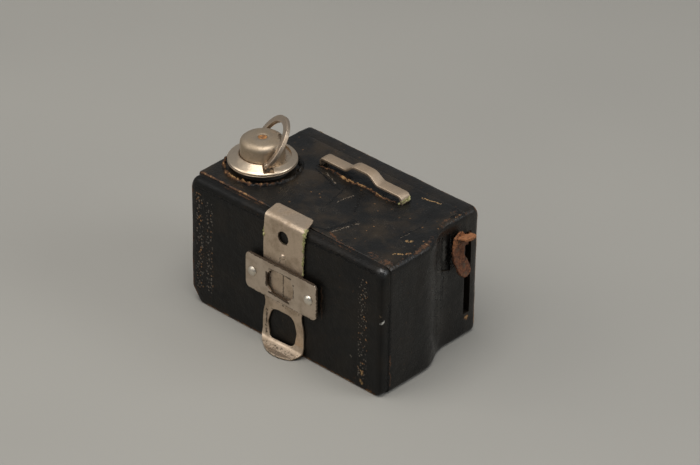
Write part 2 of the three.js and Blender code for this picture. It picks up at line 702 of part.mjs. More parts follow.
// A bent leaf on the end wall presses on the supply roll so that the film can't run slack.
function tensionSpring() {
  const wallX = halfWidth - WALL;
  const thickness = 0.4;
  const nearest = spoolX + SUPPLY_ROLL + FIT + FILM_THICKNESS + 0.9;
  const leaf = bentStrip([
    [wallX - thickness, spoolY - 9],
    [wallX - thickness, spoolY - 4.5],
    [nearest, spoolY],
    [wallX - thickness - 0.9, spoolY + 3.5],
  ], -thickness);
  piece("film_tension_spring", raised(leaf, opticZ - 8, opticZ + 8), brass);
}

// ---------------------------------------------------------------- winding key

function keyCollar() {
  const collar = turnedZ([
    [COLLAR_BORE, BODY_HEIGHT],
    [COLLAR_RADIUS, BODY_HEIGHT],
    [COLLAR_RADIUS - 0.3, BODY_HEIGHT + COLLAR_HEIGHT],
    [COLLAR_BORE, BODY_HEIGHT + COLLAR_HEIGHT],
    [COLLAR_BORE, BODY_HEIGHT],
  ], -spoolX, spoolY);
  piece("key_collar", collar, brass);
}

// Direction of the bail's hinge in plan, and the direction in which it folds flat.
const hingeTurn = THREE.MathUtils.degToRad(BAIL_TURN);
const hingeDirection = new THREE.Vector3(Math.cos(hingeTurn), Math.sin(hingeTurn), 0);

// A solid drawn with the hinge along X, turned and moved to the key.
function atKey(made) {
  const turn = new THREE.Matrix4().makeRotationZ(hingeTurn).setPosition(-spoolX, spoolY, 0);
  return made.transform(turn.elements);
}

// A round bar along the bail's hinge, drawn with the hinge along X.
function hingeBar(radius, x0, x1) {
  const geometry = new THREE.CylinderGeometry(radius, radius, x1 - x0, 12);
  return solid(geometry.rotateZ(Math.PI / 2).translate((x0 + x1) / 2, 0, bailZ));
}

const footAt = Math.sqrt(BAIL_RADIUS ** 2 - BAIL_OFFSET ** 2);
const footHalf = 1.15;
const FOOT_RADIUS = 1.35;
const PIN_ROOT = 1.6; // pin inside the hub
const pinHead = footAt + footHalf + 0.5; // the pins' heads stand clear of the ring's outer edge

function keyDisc() {
  const rimTop = discLow + DISC_RIM;
  const disc = turnedZ([
    [0, BODY_HEIGHT + FIT],
    [COLLAR_BORE - FIT * 2, BODY_HEIGHT + FIT],
    [COLLAR_BORE - FIT * 2, discLow],
    [DISC_RADIUS - 0.5, discLow],
    [DISC_RADIUS, discLow + 0.5],
    [DISC_RADIUS, rimTop - 0.5],
    [DISC_RADIUS - 0.5, rimTop],
    [DISC_SEAT, discLow + DISC_RISE],
    [DISC_SEAT, discFloor],
    [0, discFloor],
  ], 0, 0);
  const recess = new THREE.Shape();
  recess.absarc(0, 0, BAIL_RECESS, 0, Math.PI);
  const sunk = raised(recess, discFloor, discFloor + 4);
  const feet = [-1, 1].map((side) => {
    const inner = footAt - footHalf - 0.5;
    const outer = pinHead + 0.6;
    return box(Math.min(side * inner, side * outer), Math.max(side * inner, side * outer),
      -FOOT_RADIUS - 0.4, FOOT_RADIUS + 0.8, discFloor - 0.35, discFloor + 4);
  });
  const bore = rodZ(SHAFT_RADIUS + CLOSE_FIT, 0, 0, BODY_HEIGHT, discFloor + 1, ROUND);
  piece("key_disc", atKey(cut(disc, sunk, ...feet, bore)), nickel);
}

function keyHub() {
  const top = hubTop;
  const round = HUB_ROUND;
  const outer = turnedZ([
    [0, discFloor],
    [HUB_RADIUS, discFloor],
    [HUB_RADIUS, top - round],
    [HUB_RADIUS - round * 0.29, top - round * 0.29],
    [HUB_RADIUS - round, top],
    [0, top + 0.15],
  ], 0, 0);
  const inner = turnedZ([
    [0, discFloor - 1],
    [HUB_RADIUS - HUB_WALL, discFloor - 1],
    [HUB_RADIUS - HUB_WALL, top - round - 0.2],
    [HUB_RADIUS - round - 0.6, top - HUB_WALL],
    [0, top - HUB_WALL],
  ], 0, 0);
  const bores = hingeBar(BAIL_PIN + CLOSE_FIT, -HUB_RADIUS - 1, HUB_RADIUS + 1);
  const screwHole = rodZ(0.9 + CLOSE_FIT, 0, 0, top - HUB_WALL - 1, top + 1);
  const sink = rodZ(1.9, 0, 0, top - 0.45, top + 1);
  piece("key_hub", atKey(cut(outer, inner, bores, screwHole, sink)), nickel);
}

function keyShaft() {
  const shaftTop = hubTop - HUB_WALL;
  const blade = box(-BLADE_WIDTH / 2, BLADE_WIDTH / 2, -BLADE_THICKNESS / 2, BLADE_THICKNESS / 2,
    spoolHigh - 4, spoolHigh + 1).translate([-spoolX, spoolY, 0]);
  const bar = rodZ(SHAFT_RADIUS, -spoolX, spoolY, spoolHigh + 0.3, shaftTop, ROUND_SMALL);
  const tap = rodZ(0.9 + CLOSE_FIT, -spoolX, spoolY, shaftTop - 3, shaftTop + 1);
  piece("key_shaft", cut(join(bar, blade), tap), steel);
  const screw = join(
    rodZ(0.9, -spoolX, spoolY, shaftTop - 2.8, hubTop - 0.3),
    rodZ(1.7, -spoolX, spoolY, hubTop - 0.4, hubTop - 0.1),
  );
  piece("key_cap_screw", screw, rust);
}

function keyPins() {
  for (const [name, side] of [["back", -1], ["front", 1]]) {
    const from = side * (HUB_RADIUS - PIN_ROOT);
    const neck = side * (pinHead + 0.1);
    const headFrom = side * pinHead;
    const headTo = side * (pinHead + 0.35);
    const shank = hingeBar(BAIL_PIN, Math.min(from, neck), Math.max(from, neck));
    const head = hingeBar(0.95, Math.min(headFrom, headTo), Math.max(headFrom, headTo));
    piece(`key_ring_pin_${name}`, atKey(join(shank, head)), nickel);
  }
}

// The bail: most of a flat ring, with two feet hinged on the pins at the sides of the hub.
function keyRing() {
  const inner = BAIL_RADIUS - BAIL_BAND / 2;
  const outer = BAIL_RADIUS + BAIL_BAND / 2;
  const start = -Math.asin(BAIL_OFFSET / BAIL_RADIUS);
  const end = Math.PI - start;
  const steps = 26;
  const edge = (radius) => Array.from({ length: steps + 1 }, (_, i) => {
    const angle = start + ((end - start) * i) / steps;
    return [radius * Math.cos(angle), BAIL_OFFSET + radius * Math.sin(angle)];
  });
  const band = raised(outline([...edge(outer), ...edge(inner).reverse()]),
    -BAIL_THICKNESS / 2, BAIL_THICKNESS / 2);
  const foot = (side) => {
    const geometry = new THREE.CylinderGeometry(FOOT_RADIUS, FOOT_RADIUS, footHalf * 2, 14);
    return solid(geometry.rotateZ(Math.PI / 2).translate(side * footAt, 0, 0));
  };
  const boreShape = new THREE.CylinderGeometry(BAIL_PIN + CLOSE_FIT, BAIL_PIN + CLOSE_FIT, 40, 12);
  const bore = solid(boreShape.rotateZ(Math.PI / 2));
  const flat = cut(join(band, foot(-1), foot(1)), bore);
  const hinge = new THREE.Group();
  hinge.position.set(-spoolX, spoolY, bailZ);
  hinge.quaternion.setFromAxisAngle(hingeDirection, THREE.MathUtils.degToRad(BAIL_RAISED));
  hinge.quaternion.multiply(
    new THREE.Quaternion().setFromAxisAngle(new THREE.Vector3(0, 0, 1), hingeTurn));
  camera.add(hinge);
  piece("key_ring", flat, nickel, hinge);
}

// A toothed wheel under the ceiling and a sprung click keep the key from turning back.
const ratchetLow = spoolHigh + 0.5;
const ratchetHigh = ratchetLow + RATCHET_THICKNESS;
const TOOTH_DEPTH = 1.3;

const overKeyAxis = (made) => made.translate([-spoolX, spoolY, 0]);

function ratchet() {
  const points = [];
  for (let i = 0; i < RATCHET_TEETH; i += 1) {
    const angle = (-i * 2 * Math.PI) / RATCHET_TEETH;
    const foot = (-(i + 0.97) * 2 * Math.PI) / RATCHET_TEETH;
    const low = RATCHET_RADIUS - TOOTH_DEPTH;
    points.push([RATCHET_RADIUS * Math.cos(angle), RATCHET_RADIUS * Math.sin(angle)]);
    points.push([low * Math.cos(foot), low * Math.sin(foot)]);
  }
  const wheel = raised(outline(points), ratchetLow, ratchetHigh);
  const bore = rodZ(SHAFT_RADIUS + CLOSE_FIT, 0, 0, ratchetLow - 1, ratchetHigh + 1);
  piece("ratchet_wheel", overKeyAxis(cut(wheel, bore)), brass);
}

// The click is a leaf spring: its foot is screwed to the ceiling and its end sits behind a tooth.
function clickSpring() {
  const footX = RATCHET_RADIUS + 3;
  const footY = RATCHET_RADIUS + 2;
  const tipX = RATCHET_RADIUS - TOOTH_DEPTH + 0.5;
  const [screwX, screwY] = clickScrewFromAxis;
  const leaf = raised(bentStrip([
    [footX + 0.8, footY + 0.6],
    [footX - 1.4, footY - 2.6],
    [tipX + 0.9, 2.6],
    [tipX + 0.3, 0.5],
  ], CLICK_THICKNESS), ratchetLow, ratchetHigh);
  const root = box(footX + 0.2, footX + 1.4, footY - 0.2, footY + 1.6, ratchetLow, ceiling);
  const foot = box(footX + 0.2, screwX + 1.6, footY - 0.2, screwY + 1.6, ceiling - 0.5, ceiling);
  const hole = rodZ(CLICK_SCREW + CLOSE_FIT, screwX, screwY, ceiling - 1, ceiling + 1);
  piece("click_spring", overKeyAxis(cut(join(leaf, root, foot), hole)), brass);
  const screw = join(
    rodZ(CLICK_SCREW, screwX, screwY, ceiling - 0.6, ceiling + CLICK_SCREW_ROOT),
    rodZ(CLICK_SCREW * 2, screwX, screwY, ceiling - 1.1, ceiling - 0.55),
  );
  piece("click_spring_screw", overKeyAxis(screw), steel);
}

// ---------------------------------------------------------------- top bridge

// A metal strap over the top with a hump in the middle and both ends bent down into the wood.
function strapBridge() {
  const underside = BODY_HEIGHT + BRIDGE_LIFT;
  const corner = 1.1;
  const hump = Array.from({ length: 9 }, (_, i) => {
    const share = i / 8;
    const rise = (BRIDGE_HUMP * (1 - Math.cos(2 * Math.PI * share))) / 2;
    return [BRIDGE_SHIFT + BRIDGE_HUMP_LENGTH * (0.5 - share), underside + rise];
  });
  const line = [
    [bridgeRight - BRIDGE_THICKNESS, BODY_HEIGHT - BRIDGE_ROOT],
    [bridgeRight - BRIDGE_THICKNESS, underside - corner],
    [bridgeRight - BRIDGE_THICKNESS - corner, underside],
    ...hump,
    [bridgeLeft + BRIDGE_THICKNESS + corner, underside],
    [bridgeLeft + BRIDGE_THICKNESS, underside - corner],
    [bridgeLeft + BRIDGE_THICKNESS, BODY_HEIGHT - BRIDGE_ROOT],
  ];
  const strap = alongY(bentStrip(line, -BRIDGE_THICKNESS),
    bridgeY - BRIDGE_WIDTH / 2, bridgeY + BRIDGE_WIDTH / 2);
  const ends = roundedRect(bridgeLeft - 0.2, bridgeRight + 0.2, bridgeY - BRIDGE_WIDTH / 2,
    bridgeY + BRIDGE_WIDTH / 2, 1);
  piece("strap_bridge", strap.intersect(raised(ends, 0, BODY_HEIGHT + 12)), nickel);
}

// ---------------------------------------------------------------- lid, latch and window

const guideMiddle = opticZ + GUIDE_LIFT;
const windowZ = guideMiddle;
const rivetX = RIVET_SPACING / 2;

function lidOutline() {
  const left = -halfWidth;
  const right = halfWidth;
  const leftTop = BODY_HEIGHT - LID_LEFT_DROP;
  const shape = new THREE.Shape();
  shape.moveTo(left + LID_CUT_X, 0);
  shape.lineTo(right - LID_CORNER, 0);
  shape.absarc(right - LID_CORNER, LID_CORNER, LID_CORNER, -Math.PI / 2, 0);
  shape.lineTo(right, BODY_HEIGHT - LID_CORNER);
  shape.absarc(right - LID_CORNER, BODY_HEIGHT - LID_CORNER, LID_CORNER, 0, Math.PI / 2);
  shape.lineTo(left + LID_CORNER, leftTop);
  shape.absarc(left + LID_CORNER, leftTop - LID_CORNER, LID_CORNER, Math.PI / 2, Math.PI);
  shape.lineTo(left, LID_CUT_Z);
  return shape;
}

function lid() {
  let made = alongY(lidOutline(), lidFace, lidInner, LID_BEVEL);
  made = cut(made, rodY(WINDOW_RADIUS - 1, 0, windowZ, lidFace - 1, lidInner + 1, ROUND));
  made = cut(made, rodY(WINDOW_RADIUS + CLOSE_FIT, 0, windowZ, lidInner - 2, lidInner + 1, ROUND));
  for (const side of [-1, 1]) {
    made = cut(made, rodY(RIVET_SHANK + CLOSE_FIT, side * rivetX, guideMiddle, lidFace - 1,
      lidInner + 1));
  }
  piece("back_lid", made, leather);
  const glassPane = rodY(WINDOW_RADIUS, 0, windowZ, lidInner - 1.9, lidInner - 1.1, ROUND);
  piece("ruby_window", glassPane, ruby);
  const ring = turnedY([
    [WINDOW_RADIUS - 1.2, lidInner - 1],
    [WINDOW_RADIUS, lidInner - 1],
    [WINDOW_RADIUS, lidInner - 0.1],
    [WINDOW_RADIUS - 1.2, lidInner - 0.1],
    [WINDOW_RADIUS - 1.2, lidInner - 1],
  ], 0, windowZ);
  piece("window_retainer", ring, brass);
}

// A frame on the inside of the lid that enters the box and keeps light out of the seam.
function rebateFrame() {
  const half = halfWidth - WALL - FIT;
  const low = WALL + FIT;
  const high = ceiling - FIT;
  const y0 = lidInner + 0.02;
  const outer = box(-half, half, y0, y0 + REBATE_DEPTH, low, high);
  const inner = box(-half + REBATE_WIDTH, half - REBATE_WIDTH, y0 - 1, y0 + REBATE_DEPTH + 1,
    low + REBATE_WIDTH, high - REBATE_WIDTH);
  piece("lid_rebate_frame", cut(outer, inner), wood);
}

// The strip: a flange over the top, a flat face down the lid with a round hole and a finger hole,
// and a lip turned out at the foot.
function latchStrip() {
  const back = stripFace + STRIP_THICKNESS;
  const flangeLow = BODY_HEIGHT + 0.25;
  const bend = bentStrip([
    [back - LIP_REACH, 0.3],
    [back - LIP_REACH * 0.6, 0.5],
    [back - 0.9, 1.2],
    [back, 2.4],
    [back, flangeLow - 0.9],
    [back + 0.9, flangeLow],
    [lidFace + HOOK_REACH, flangeLow + HOOK_RISE],
  ], STRIP_THICKNESS);
  const half = STRIP_WIDTH / 2;
  const sheet = alongX(bend, -half, half);
  const neck = half - 1;
  const front = new THREE.Shape();
  front.moveTo(-half, 4);
  front.quadraticCurveTo(-half, 0.2, -half + 3.4, -1);
  front.lineTo(half - 3.4, -1);
  front.quadraticCurveTo(half, 0.2, half, 4);
  front.lineTo(half, 11);
  front.quadraticCurveTo(half, 14, neck, 16.5);
  front.lineTo(neck, 20);
  front.lineTo(half, 24);
  front.lineTo(half, BODY_HEIGHT + 3);
  front.lineTo(-half, BODY_HEIGHT + 3);
  front.lineTo(-half, 24);
  front.lineTo(-neck, 20);
  front.lineTo(-neck, 16.5);
  front.quadraticCurveTo(-half, 14, -half, 11);
  const kept = sheet.intersect(alongY(front, lidFace - LIP_REACH - 3, lidFace + HOOK_REACH + 1));
  const plan = new THREE.Shape();
  const lipFar = back - LIP_REACH - 0.4;
  const lipShift = 1; // the lip's point stands right of the strip's middle
  plan.moveTo(-half, lidFace + HOOK_REACH);
  plan.lineTo(-half, back - 1);
  plan.bezierCurveTo(-half + 0.6, back - 4.5, lipShift - half * 0.6, lipFar, lipShift, lipFar);
  plan.bezierCurveTo(lipShift + half * 0.6, lipFar, half - 0.4, back - 4.8, half, back - 1.4);
  plan.lineTo(half, lidFace + 1.5);
  plan.lineTo(half - HOOK_TAPER, lidFace + HOOK_REACH);
  const rounded = kept.intersect(raised(plan, -1, BODY_HEIGHT + 4));
  const small = rodY(STRIP_HOLE, 0, BODY_HEIGHT - STRIP_HOLE_DROP, stripFace - 1, back + 0.05, 20);
  const wide = FINGER_HOLE_WIDTH / 2;
  const arch = new THREE.Shape();
  arch.moveTo(-wide + 2, FINGER_HOLE_LOW);
  arch.lineTo(wide - 2, FINGER_HOLE_LOW);
  arch.quadraticCurveTo(wide, FINGER_HOLE_LOW, wide, FINGER_HOLE_LOW + 2.4);
  arch.bezierCurveTo(wide, FINGER_HOLE_HIGH - 3, wide - 3, FINGER_HOLE_HIGH, 0, FINGER_HOLE_HIGH);
  arch.bezierCurveTo(-wide + 3, FINGER_HOLE_HIGH, -wide, FINGER_HOLE_HIGH - 3,
    -wide, FINGER_HOLE_LOW + 2.4);
  arch.quadraticCurveTo(-wide, FINGER_HOLE_LOW, -wide + 2, FINGER_HOLE_LOW);
  const finger = alongY(arch, stripFace - 1, back + 0.05);
  piece("latch_strip", cut(rounded, small, finger), nickel);
}

function guidePlate() {
  const low = guideMiddle - GUIDE_HEIGHT / 2;
  const high = guideMiddle + GUIDE_HEIGHT / 2;
  const shape = roundedRect(-GUIDE_WIDTH / 2, GUIDE_WIDTH / 2, low, high, GUIDE_CORNER);
  const wide = GUIDE_WINDOW_WIDTH / 2;
  const tall = GUIDE_WINDOW_HEIGHT / 2;
  shape.holes.push(roundedRect(-wide, wide, guideMiddle - tall, guideMiddle + tall, tall * 0.8));
  let plate = alongY(shape, guideFace, guideInner);
  for (const side of [-1, 1]) {
    plate = cut(plate, rodY(RIVET_SHANK + CLOSE_FIT, side * rivetX, guideMiddle, guideFace - 1,
      guideInner + 1));
  }
  piece("latch_guide_plate", plate, nickel);
}

// Domed rivets with a shoulder that holds the plate clear of the sliding strip.
function guideRivets() {
  for (const [name, side] of [["left", -1], ["right", 1]]) {
    const rivet = turnedY([
      [0, guideFace - 0.95],
      [RIVET_HEAD * 0.6, guideFace - 0.75],
      [RIVET_HEAD * 0.9, guideFace - 0.4],
      [RIVET_HEAD, guideFace - 0.02],
      [RIVET_SHANK, guideFace - 0.02],
      [RIVET_SHANK, guideInner + 0.02],
      [RIVET_HEAD, guideInner + 0.02],
      [RIVET_HEAD, lidFace],
      [RIVET_SHANK, lidFace],
      [RIVET_SHANK, lidInner],
      [0, lidInner],
    ], side * rivetX, guideMiddle, ROUND_SMALL);
    piece(`guide_rivet_${name}`, rivet, nickel);
  }
}

// ---------------------------------------------------------------- assembly

bodyShell();
frontPanel();
frontScrews();
lensBezel();
lensBoard();
lensGroup();
shutterRails();
shutterParts();
lightCone();
spoolsAndFilm();
filmStrip();
guideRollers();
tensionSpring();
keyCollar();
keyDisc();
keyHub();
keyShaft();
keyPins();
keyRing();
ratchet();
clickSpring();
strapBridge();
lid();
rebateFrame();
latchStrip();
guidePlate();
guideRivets();

export default camera;
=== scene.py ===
"""Looks of a small leather-covered roll-film box camera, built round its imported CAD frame."""

import json
import math
from math import cos, pi, radians, sin

import bmesh
import bpy
import numpy as np
from mathutils import Matrix, Vector, noise


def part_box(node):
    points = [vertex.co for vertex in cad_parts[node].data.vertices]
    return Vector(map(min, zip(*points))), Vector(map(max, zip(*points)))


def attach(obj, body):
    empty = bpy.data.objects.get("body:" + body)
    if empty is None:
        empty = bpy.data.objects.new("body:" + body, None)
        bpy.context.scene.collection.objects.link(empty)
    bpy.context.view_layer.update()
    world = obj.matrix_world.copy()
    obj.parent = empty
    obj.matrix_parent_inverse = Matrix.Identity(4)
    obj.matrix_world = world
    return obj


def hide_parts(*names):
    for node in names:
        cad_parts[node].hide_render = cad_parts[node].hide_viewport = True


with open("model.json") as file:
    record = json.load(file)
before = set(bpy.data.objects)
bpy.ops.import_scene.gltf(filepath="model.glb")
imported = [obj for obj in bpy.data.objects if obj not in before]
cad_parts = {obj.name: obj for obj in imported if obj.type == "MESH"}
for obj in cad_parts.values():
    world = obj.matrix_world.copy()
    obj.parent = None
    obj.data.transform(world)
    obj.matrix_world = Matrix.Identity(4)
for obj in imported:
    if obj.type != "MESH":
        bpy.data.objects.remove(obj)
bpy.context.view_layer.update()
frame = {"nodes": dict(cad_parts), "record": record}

# Sizes are in millimetres until a mesh is made.
MM = 0.001
NODES = frame["nodes"]

# -------- camera and its light

AIM = Vector((2.13, 3.27, 37.71))
AZIMUTH = 42.78
ELEVATION = 31.75
ROLL = 0.873
DISTANCE = 1357.5
LENS = 182.4
SENSOR = 36.0

WORLD_COLOR = (0.62, 0.64, 0.66, 1)
WORLD_STRENGTH = 0.36
LAMPS_AIM = Vector((0, 0, 30))
# Name, azimuth, elevation, distance, size, power and colour of each square soft box.
LAMPS = [
    ("overhead", 20, 78, 1100, 900, 9.4, (1.0, 0.98, 0.95)),
    ("left_box", -38, 34, 1200, 800, 3.4, (1.0, 0.97, 0.93)),
    ("right_box", 118, 30, 1300, 600, 4.5, (0.95, 0.98, 1.0)),
]


def placed(name, data):
    """A new object in the scene that holds a camera, a light, a curve or a mesh."""
    obj = bpy.data.objects.new(name, data)
    bpy.context.scene.collection.objects.link(obj)
    return obj


def orbit(target, azimuth, elevation, distance, roll=0.0):
    """Where something stands that looks at the target from a distance."""
    return (
        Matrix.Translation(target * MM)
        @ Matrix.Rotation(radians(azimuth), 4, "Z")
        @ Matrix.Rotation(radians(90 - elevation), 4, "X")
        @ Matrix.Rotation(radians(roll), 4, "Z")
        @ Matrix.Translation((0, 0, distance * MM))
    )


def place_camera():
    data = bpy.data.cameras.new("view")
    data.lens = LENS
    data.sensor_width = SENSOR
    camera = placed("view", data)
    camera.matrix_world = orbit(AIM, AZIMUTH, ELEVATION, DISTANCE, ROLL)
    bpy.context.scene.camera = camera


def light_the_stage():
    world = bpy.data.worlds.new("studio")
    bpy.context.scene.world = world
    world.use_nodes = True
    background = world.node_tree.nodes["Background"]
    background.inputs["Color"].default_value = WORLD_COLOR
    background.inputs["Strength"].default_value = WORLD_STRENGTH
    for name, azimuth, elevation, distance, size, power, color in LAMPS:
        data = bpy.data.lights.new(name, "AREA")
        data.size = size * MM
        data.energy = power
        data.color = color
        placed(name, data).matrix_world = orbit(LAMPS_AIM, azimuth, elevation, distance)


# -------- mesh tools


def span(node):
    low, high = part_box(node)
    return low / MM, high / MM


def centre_of(node):
    low, high = span(node)
    return (low + high) / 2


def add_mesh(name, points, faces):
    mesh = bpy.data.meshes.new(name)
    mesh.from_pydata([tuple(c * MM for c in p) for p in points], [], faces)
    made = bmesh.new()
    made.from_mesh(mesh)
    bmesh.ops.remove_doubles(made, verts=made.verts, dist=1e-7)
    bmesh.ops.recalc_face_normals(made, faces=made.faces)
    made.to_mesh(mesh)
    made.free()
    return placed(name, mesh)


def smooth(obj, angle=38):
    obj.data.polygons.foreach_set("use_smooth", [True] * len(obj.data.polygons))
    obj.data.set_sharp_from_angle(angle=radians(angle))
    obj.data.update()


def dress(obj, body, material, replaces=(), angle=38):
    """Smooths a finished piece, gives it its material and its body, and hides the CAD nodes that it stands
    for.
    """
    obj.data.materials.clear()
    obj.data.materials.append(material)
    smooth(obj, angle)
    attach(obj, body)
    if replaces:
        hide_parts(*replaces)
    return obj


def quads(rows, size, closed):
    """Faces between neighbouring rows of points, and from the last row to the first if closed."""
    faces = []
    for row in range(rows if closed else rows - 1):
        a, b = row * size, (row + 1) % rows * size
        for i in range(size):
            after = (i + 1) % size
            faces.append((a + i, a + after, b + after, b + i))
    return faces


def loft(name, rings, closed=False):
    """A mesh through rings of as many points each, with a face at either end or closed on itself."""
    count = len(rings[0])
    points = [p for ring in rings for p in ring]
    faces = quads(len(rings), count, closed)
    if not closed:
        faces.append(tuple(range(count)))
        faces.append(tuple(range(len(points) - count, len(points))))
    return add_mesh(name, points, faces)


def lathe(name, profile, centre, axis="Z", sides=72):
    """A [radius, height] profile turned round a vertical axis, or round one along Y. It starts and ends
    on the axis, or closes on itself."""
    closed = profile[0] == profile[-1]
    rows = profile[:-1] if closed else profile
    points = []
    for radius, height in rows:
        for i in range(sides):
            a = 2 * pi * i / sides
            if axis == "Z":
                points.append((centre[0] + radius * cos(a), centre[1] + radius * sin(a), height))
            else:
                points.append((centre[0] + radius * cos(a), height, centre[1] + radius * sin(a)))
    return add_mesh(name, points, quads(len(rows), sides, closed))


def soften(points, radii, steps=5):
    """A line of points whose inner corners are turned into arcs of the given radii."""
    line = [Vector(points[0])]
    for before, here, after, radius in zip(points, points[1:], points[2:], radii):
        before, here, after = Vector(before), Vector(here), Vector(after)
        into = (here - before).normalized()
        out = (after - here).normalized()
        trim = radius * math.tan(into.angle(out) / 2)
        start, end = here - into * trim, here + out * trim
        for i in range(steps + 1):
            t = i / steps
            line.append(start * (1 - t) ** 2 + here * 2 * t * (1 - t) + end * t * t)
    line.append(Vector(points[-1]))
    return line


def rounded_outline(corners, step):
    """Points round a polygon of (a, b, radius) corners, about step apart along its straights."""
    arcs = []
    for i, (a, b, radius) in enumerate(corners):
        here = Vector((a, b))
        before = Vector(corners[i - 1][:2])
        after = Vector(corners[(i + 1) % len(corners)][:2])
        into = (here - before).normalized()
        out = (after - here).normalized()
        turn = into.angle_signed(out)
        start = here - into * radius * math.tan(abs(turn) / 2)
        centre = start + Vector((-into.y, into.x)) * radius * (-1 if turn > 0 else 1)
        steps = max(2, math.ceil(abs(turn) / radians(15)))
        spoke = start - centre
        arcs.append([
            centre + Matrix.Rotation(-turn * k / steps, 2) @ spoke for k in range(steps + 1)
        ])
    points = []
    for i, arc in enumerate(arcs):
        points.extend(arc)
        after = arcs[(i + 1) % len(arcs)][0]
        count = max(1, round((after - arc[-1]).length / step))
        points.extend(arc[-1].lerp(after, k / count) for k in range(1, count))
    return points


def rect(low, high, radius):
    """Corners of a rectangle for rounded_outline."""
    return [(a, b, radius) for a, b in (low, (high[0], low[1]), high, (low[0], high[1]))]


def rounded_run(start, end, round_start, round_end, step):
    """Stations (place, inset) from start to end whose two ends are rounded."""
    arc = [pi / 2 * k / 4 for k in range(5)]
    first = [(start + round_start * (1 - cos(a)), round_start * (1 - sin(a))) for a in arc]
    last = [(end - round_end * (1 - cos(a)), round_end * (1 - sin(a))) for a in reversed(arc)]
    count = max(2, round((end - start - round_start - round_end) / step))
    middle = [
        (start + round_start + (end - round_end - start - round_start) * k / count, 0)
        for k in range(1, count)
    ]
    return first + middle + last


def block(name, outline, stations, across=lambda y: 1.0, cap_step=1.3, insets=(1, 1, 1)):
    """A solid whose outline in X and Z runs along Y, with both ends filled by rings that shrink to
    their middle, so that its flat ends can take relief too. insets are how much of each station's
    inset its sides, foot and top take."""
    middle = sum(outline, Vector((0, 0))) / len(outline)
    half = max(p.x for p in outline) - middle.x
    low, high = min(p.y for p in outline), max(p.y for p in outline)
    side, foot, top = insets
    shrink = max(2, round(min(half, (high - low) / 2) / cap_step))

    def ring(y, inset, share=1.0):
        placed = []
        for p in outline:
            x = (p.x - middle.x) * (1 - inset * side / half)
            z = low + inset * foot + (p.y - low) * (1 - inset * (foot + top) / (high - low))
            placed.append(((middle.x + x * share) * across(y), y, middle.y + (z - middle.y) * share))
        return placed

    rings = [ring(*stations[0], k / shrink) for k in range(1, shrink)]
    rings += [ring(y, inset) for y, inset in stations]
    rings += [ring(*stations[-1], k / shrink) for k in range(shrink - 1, 0, -1)]
    return loft(name, rings)


def prism(outline, low, high, axis):
    """A closed cutter: an outline raised along one axis. Its two coordinates are the other two."""
    def put(p, depth):
        return {"X": (depth, p[0], p[1]), "Y": (p[0], depth, p[1]), "Z": (p[0], p[1], depth)}[axis]
    return loft("cutter", [[put(p, low) for p in outline], [put(p, high) for p in outline]])


def box_cutter(low, high):
    corners = [(low[0], low[2]), (high[0], low[2]), (high[0], high[2]), (low[0], high[2])]
    return prism(corners, low[1], high[1], "Y")


def round_cutter(radius, a, b, low, high, axis, sides=48):
    turns = [2 * pi * i / sides for i in range(sides)]
    return prism([(a + radius * cos(turn), b + radius * sin(turn)) for turn in turns], low, high, axis)


def combine(obj, other, operation):
    """Joins another object to the piece, or cuts it away, and removes that object."""
    modifier = obj.modifiers.new("combine", "BOOLEAN")
    modifier.operation = operation
    modifier.solver = "EXACT"
    modifier.object = other
    apply_modifiers(obj)
    bpy.data.objects.remove(other)


def carve(obj, *cutters):
    """Cuts each cutter away from the piece."""
    for cutter in cutters:
        combine(obj, cutter, "DIFFERENCE")


def apply_modifiers(obj):
    depsgraph = bpy.context.evaluated_depsgraph_get()
    mesh = bpy.data.meshes.new_from_object(obj.evaluated_get(depsgraph), depsgraph=depsgraph)
    obj.modifiers.clear()
    obj.data = mesh


def positions(obj):
    co = np.empty(len(obj.data.vertices) * 3)
    obj.data.vertices.foreach_get("co", co)
    return co.reshape(-1, 3) / MM


def lump(x, y, z, scale=1.0):
    """Smooth noise at a place, about -1 to 1."""
    return noise.noise(Vector((x, y, z)) * scale)


def relief(obj, amount, scale, seed=0.0, keep=None):
    """Lumps along the normals: amount and scale in millimetres. keep(point) is how much stays, 0 to 1."""
    normals = [v.normal.copy() for v in obj.data.vertices]
    for vertex, normal in zip(obj.data.vertices, normals):
        at = vertex.co / MM
        push = amount * noise.noise(at / scale + Vector((seed, seed * 2, seed * 3)))
        if keep:
            push *= keep(at)
        vertex.co += normal * push * MM
    obj.data.update()


def paint(obj, name, value_at):
    """A number at each point of the mesh, which its material reads by name."""
    layer = obj.data.attributes.new(name, "FLOAT", "POINT")
    layer.data.foreach_set("value", value_at(positions(obj)).astype(np.float32))


def near_line(points, a, b, reach):
    """1 on the line from a to b, falling to 0 at reach millimetres from it."""
    a, b = np.array(a, float), np.array(b, float)
    along = b - a
    t = np.clip(((points - a) @ along) / max(along @ along, 1e-9), 0, 1)
    gap = np.linalg.norm(points - (a + t[:, None] * along), axis=1)
    return np.clip(1 - gap / reach, 0, 1)


def clean(points):
    """Nothing anywhere, for paint()."""
    return points[:, 0] * 0


def strongest(points, lines):
    """The highest value that some (from, to, reach, strength) lines have at each point."""
    return np.max([strength * near_line(points, a, b, reach) for a, b, reach, strength in lines], 0)


def near_lines(points, lines):
    """The same for lines whose ends are given in X and Z only, whatever the depth of the points."""
    flat = [((a[0], 0, a[1]), (b[0], 0, b[1]), *rest) for a, b, *rest in lines]
    return strongest(points * (1, 0, 1), flat)


def fade(gap, reach):
    """1 where the gap is 0, falling to 0 where it is reach."""
    return np.clip(1 - np.abs(gap) / reach, 0, 1)


def rise(height, reach):
    """0 up to a height of 0, and 1 from reach on."""
    return np.clip(height / reach, 0, 1)


def wear(obj, lines):
    """How far the leather is worn."""
    paint(obj, "worn", lambda p: strongest(p, lines))


# -------- material tools


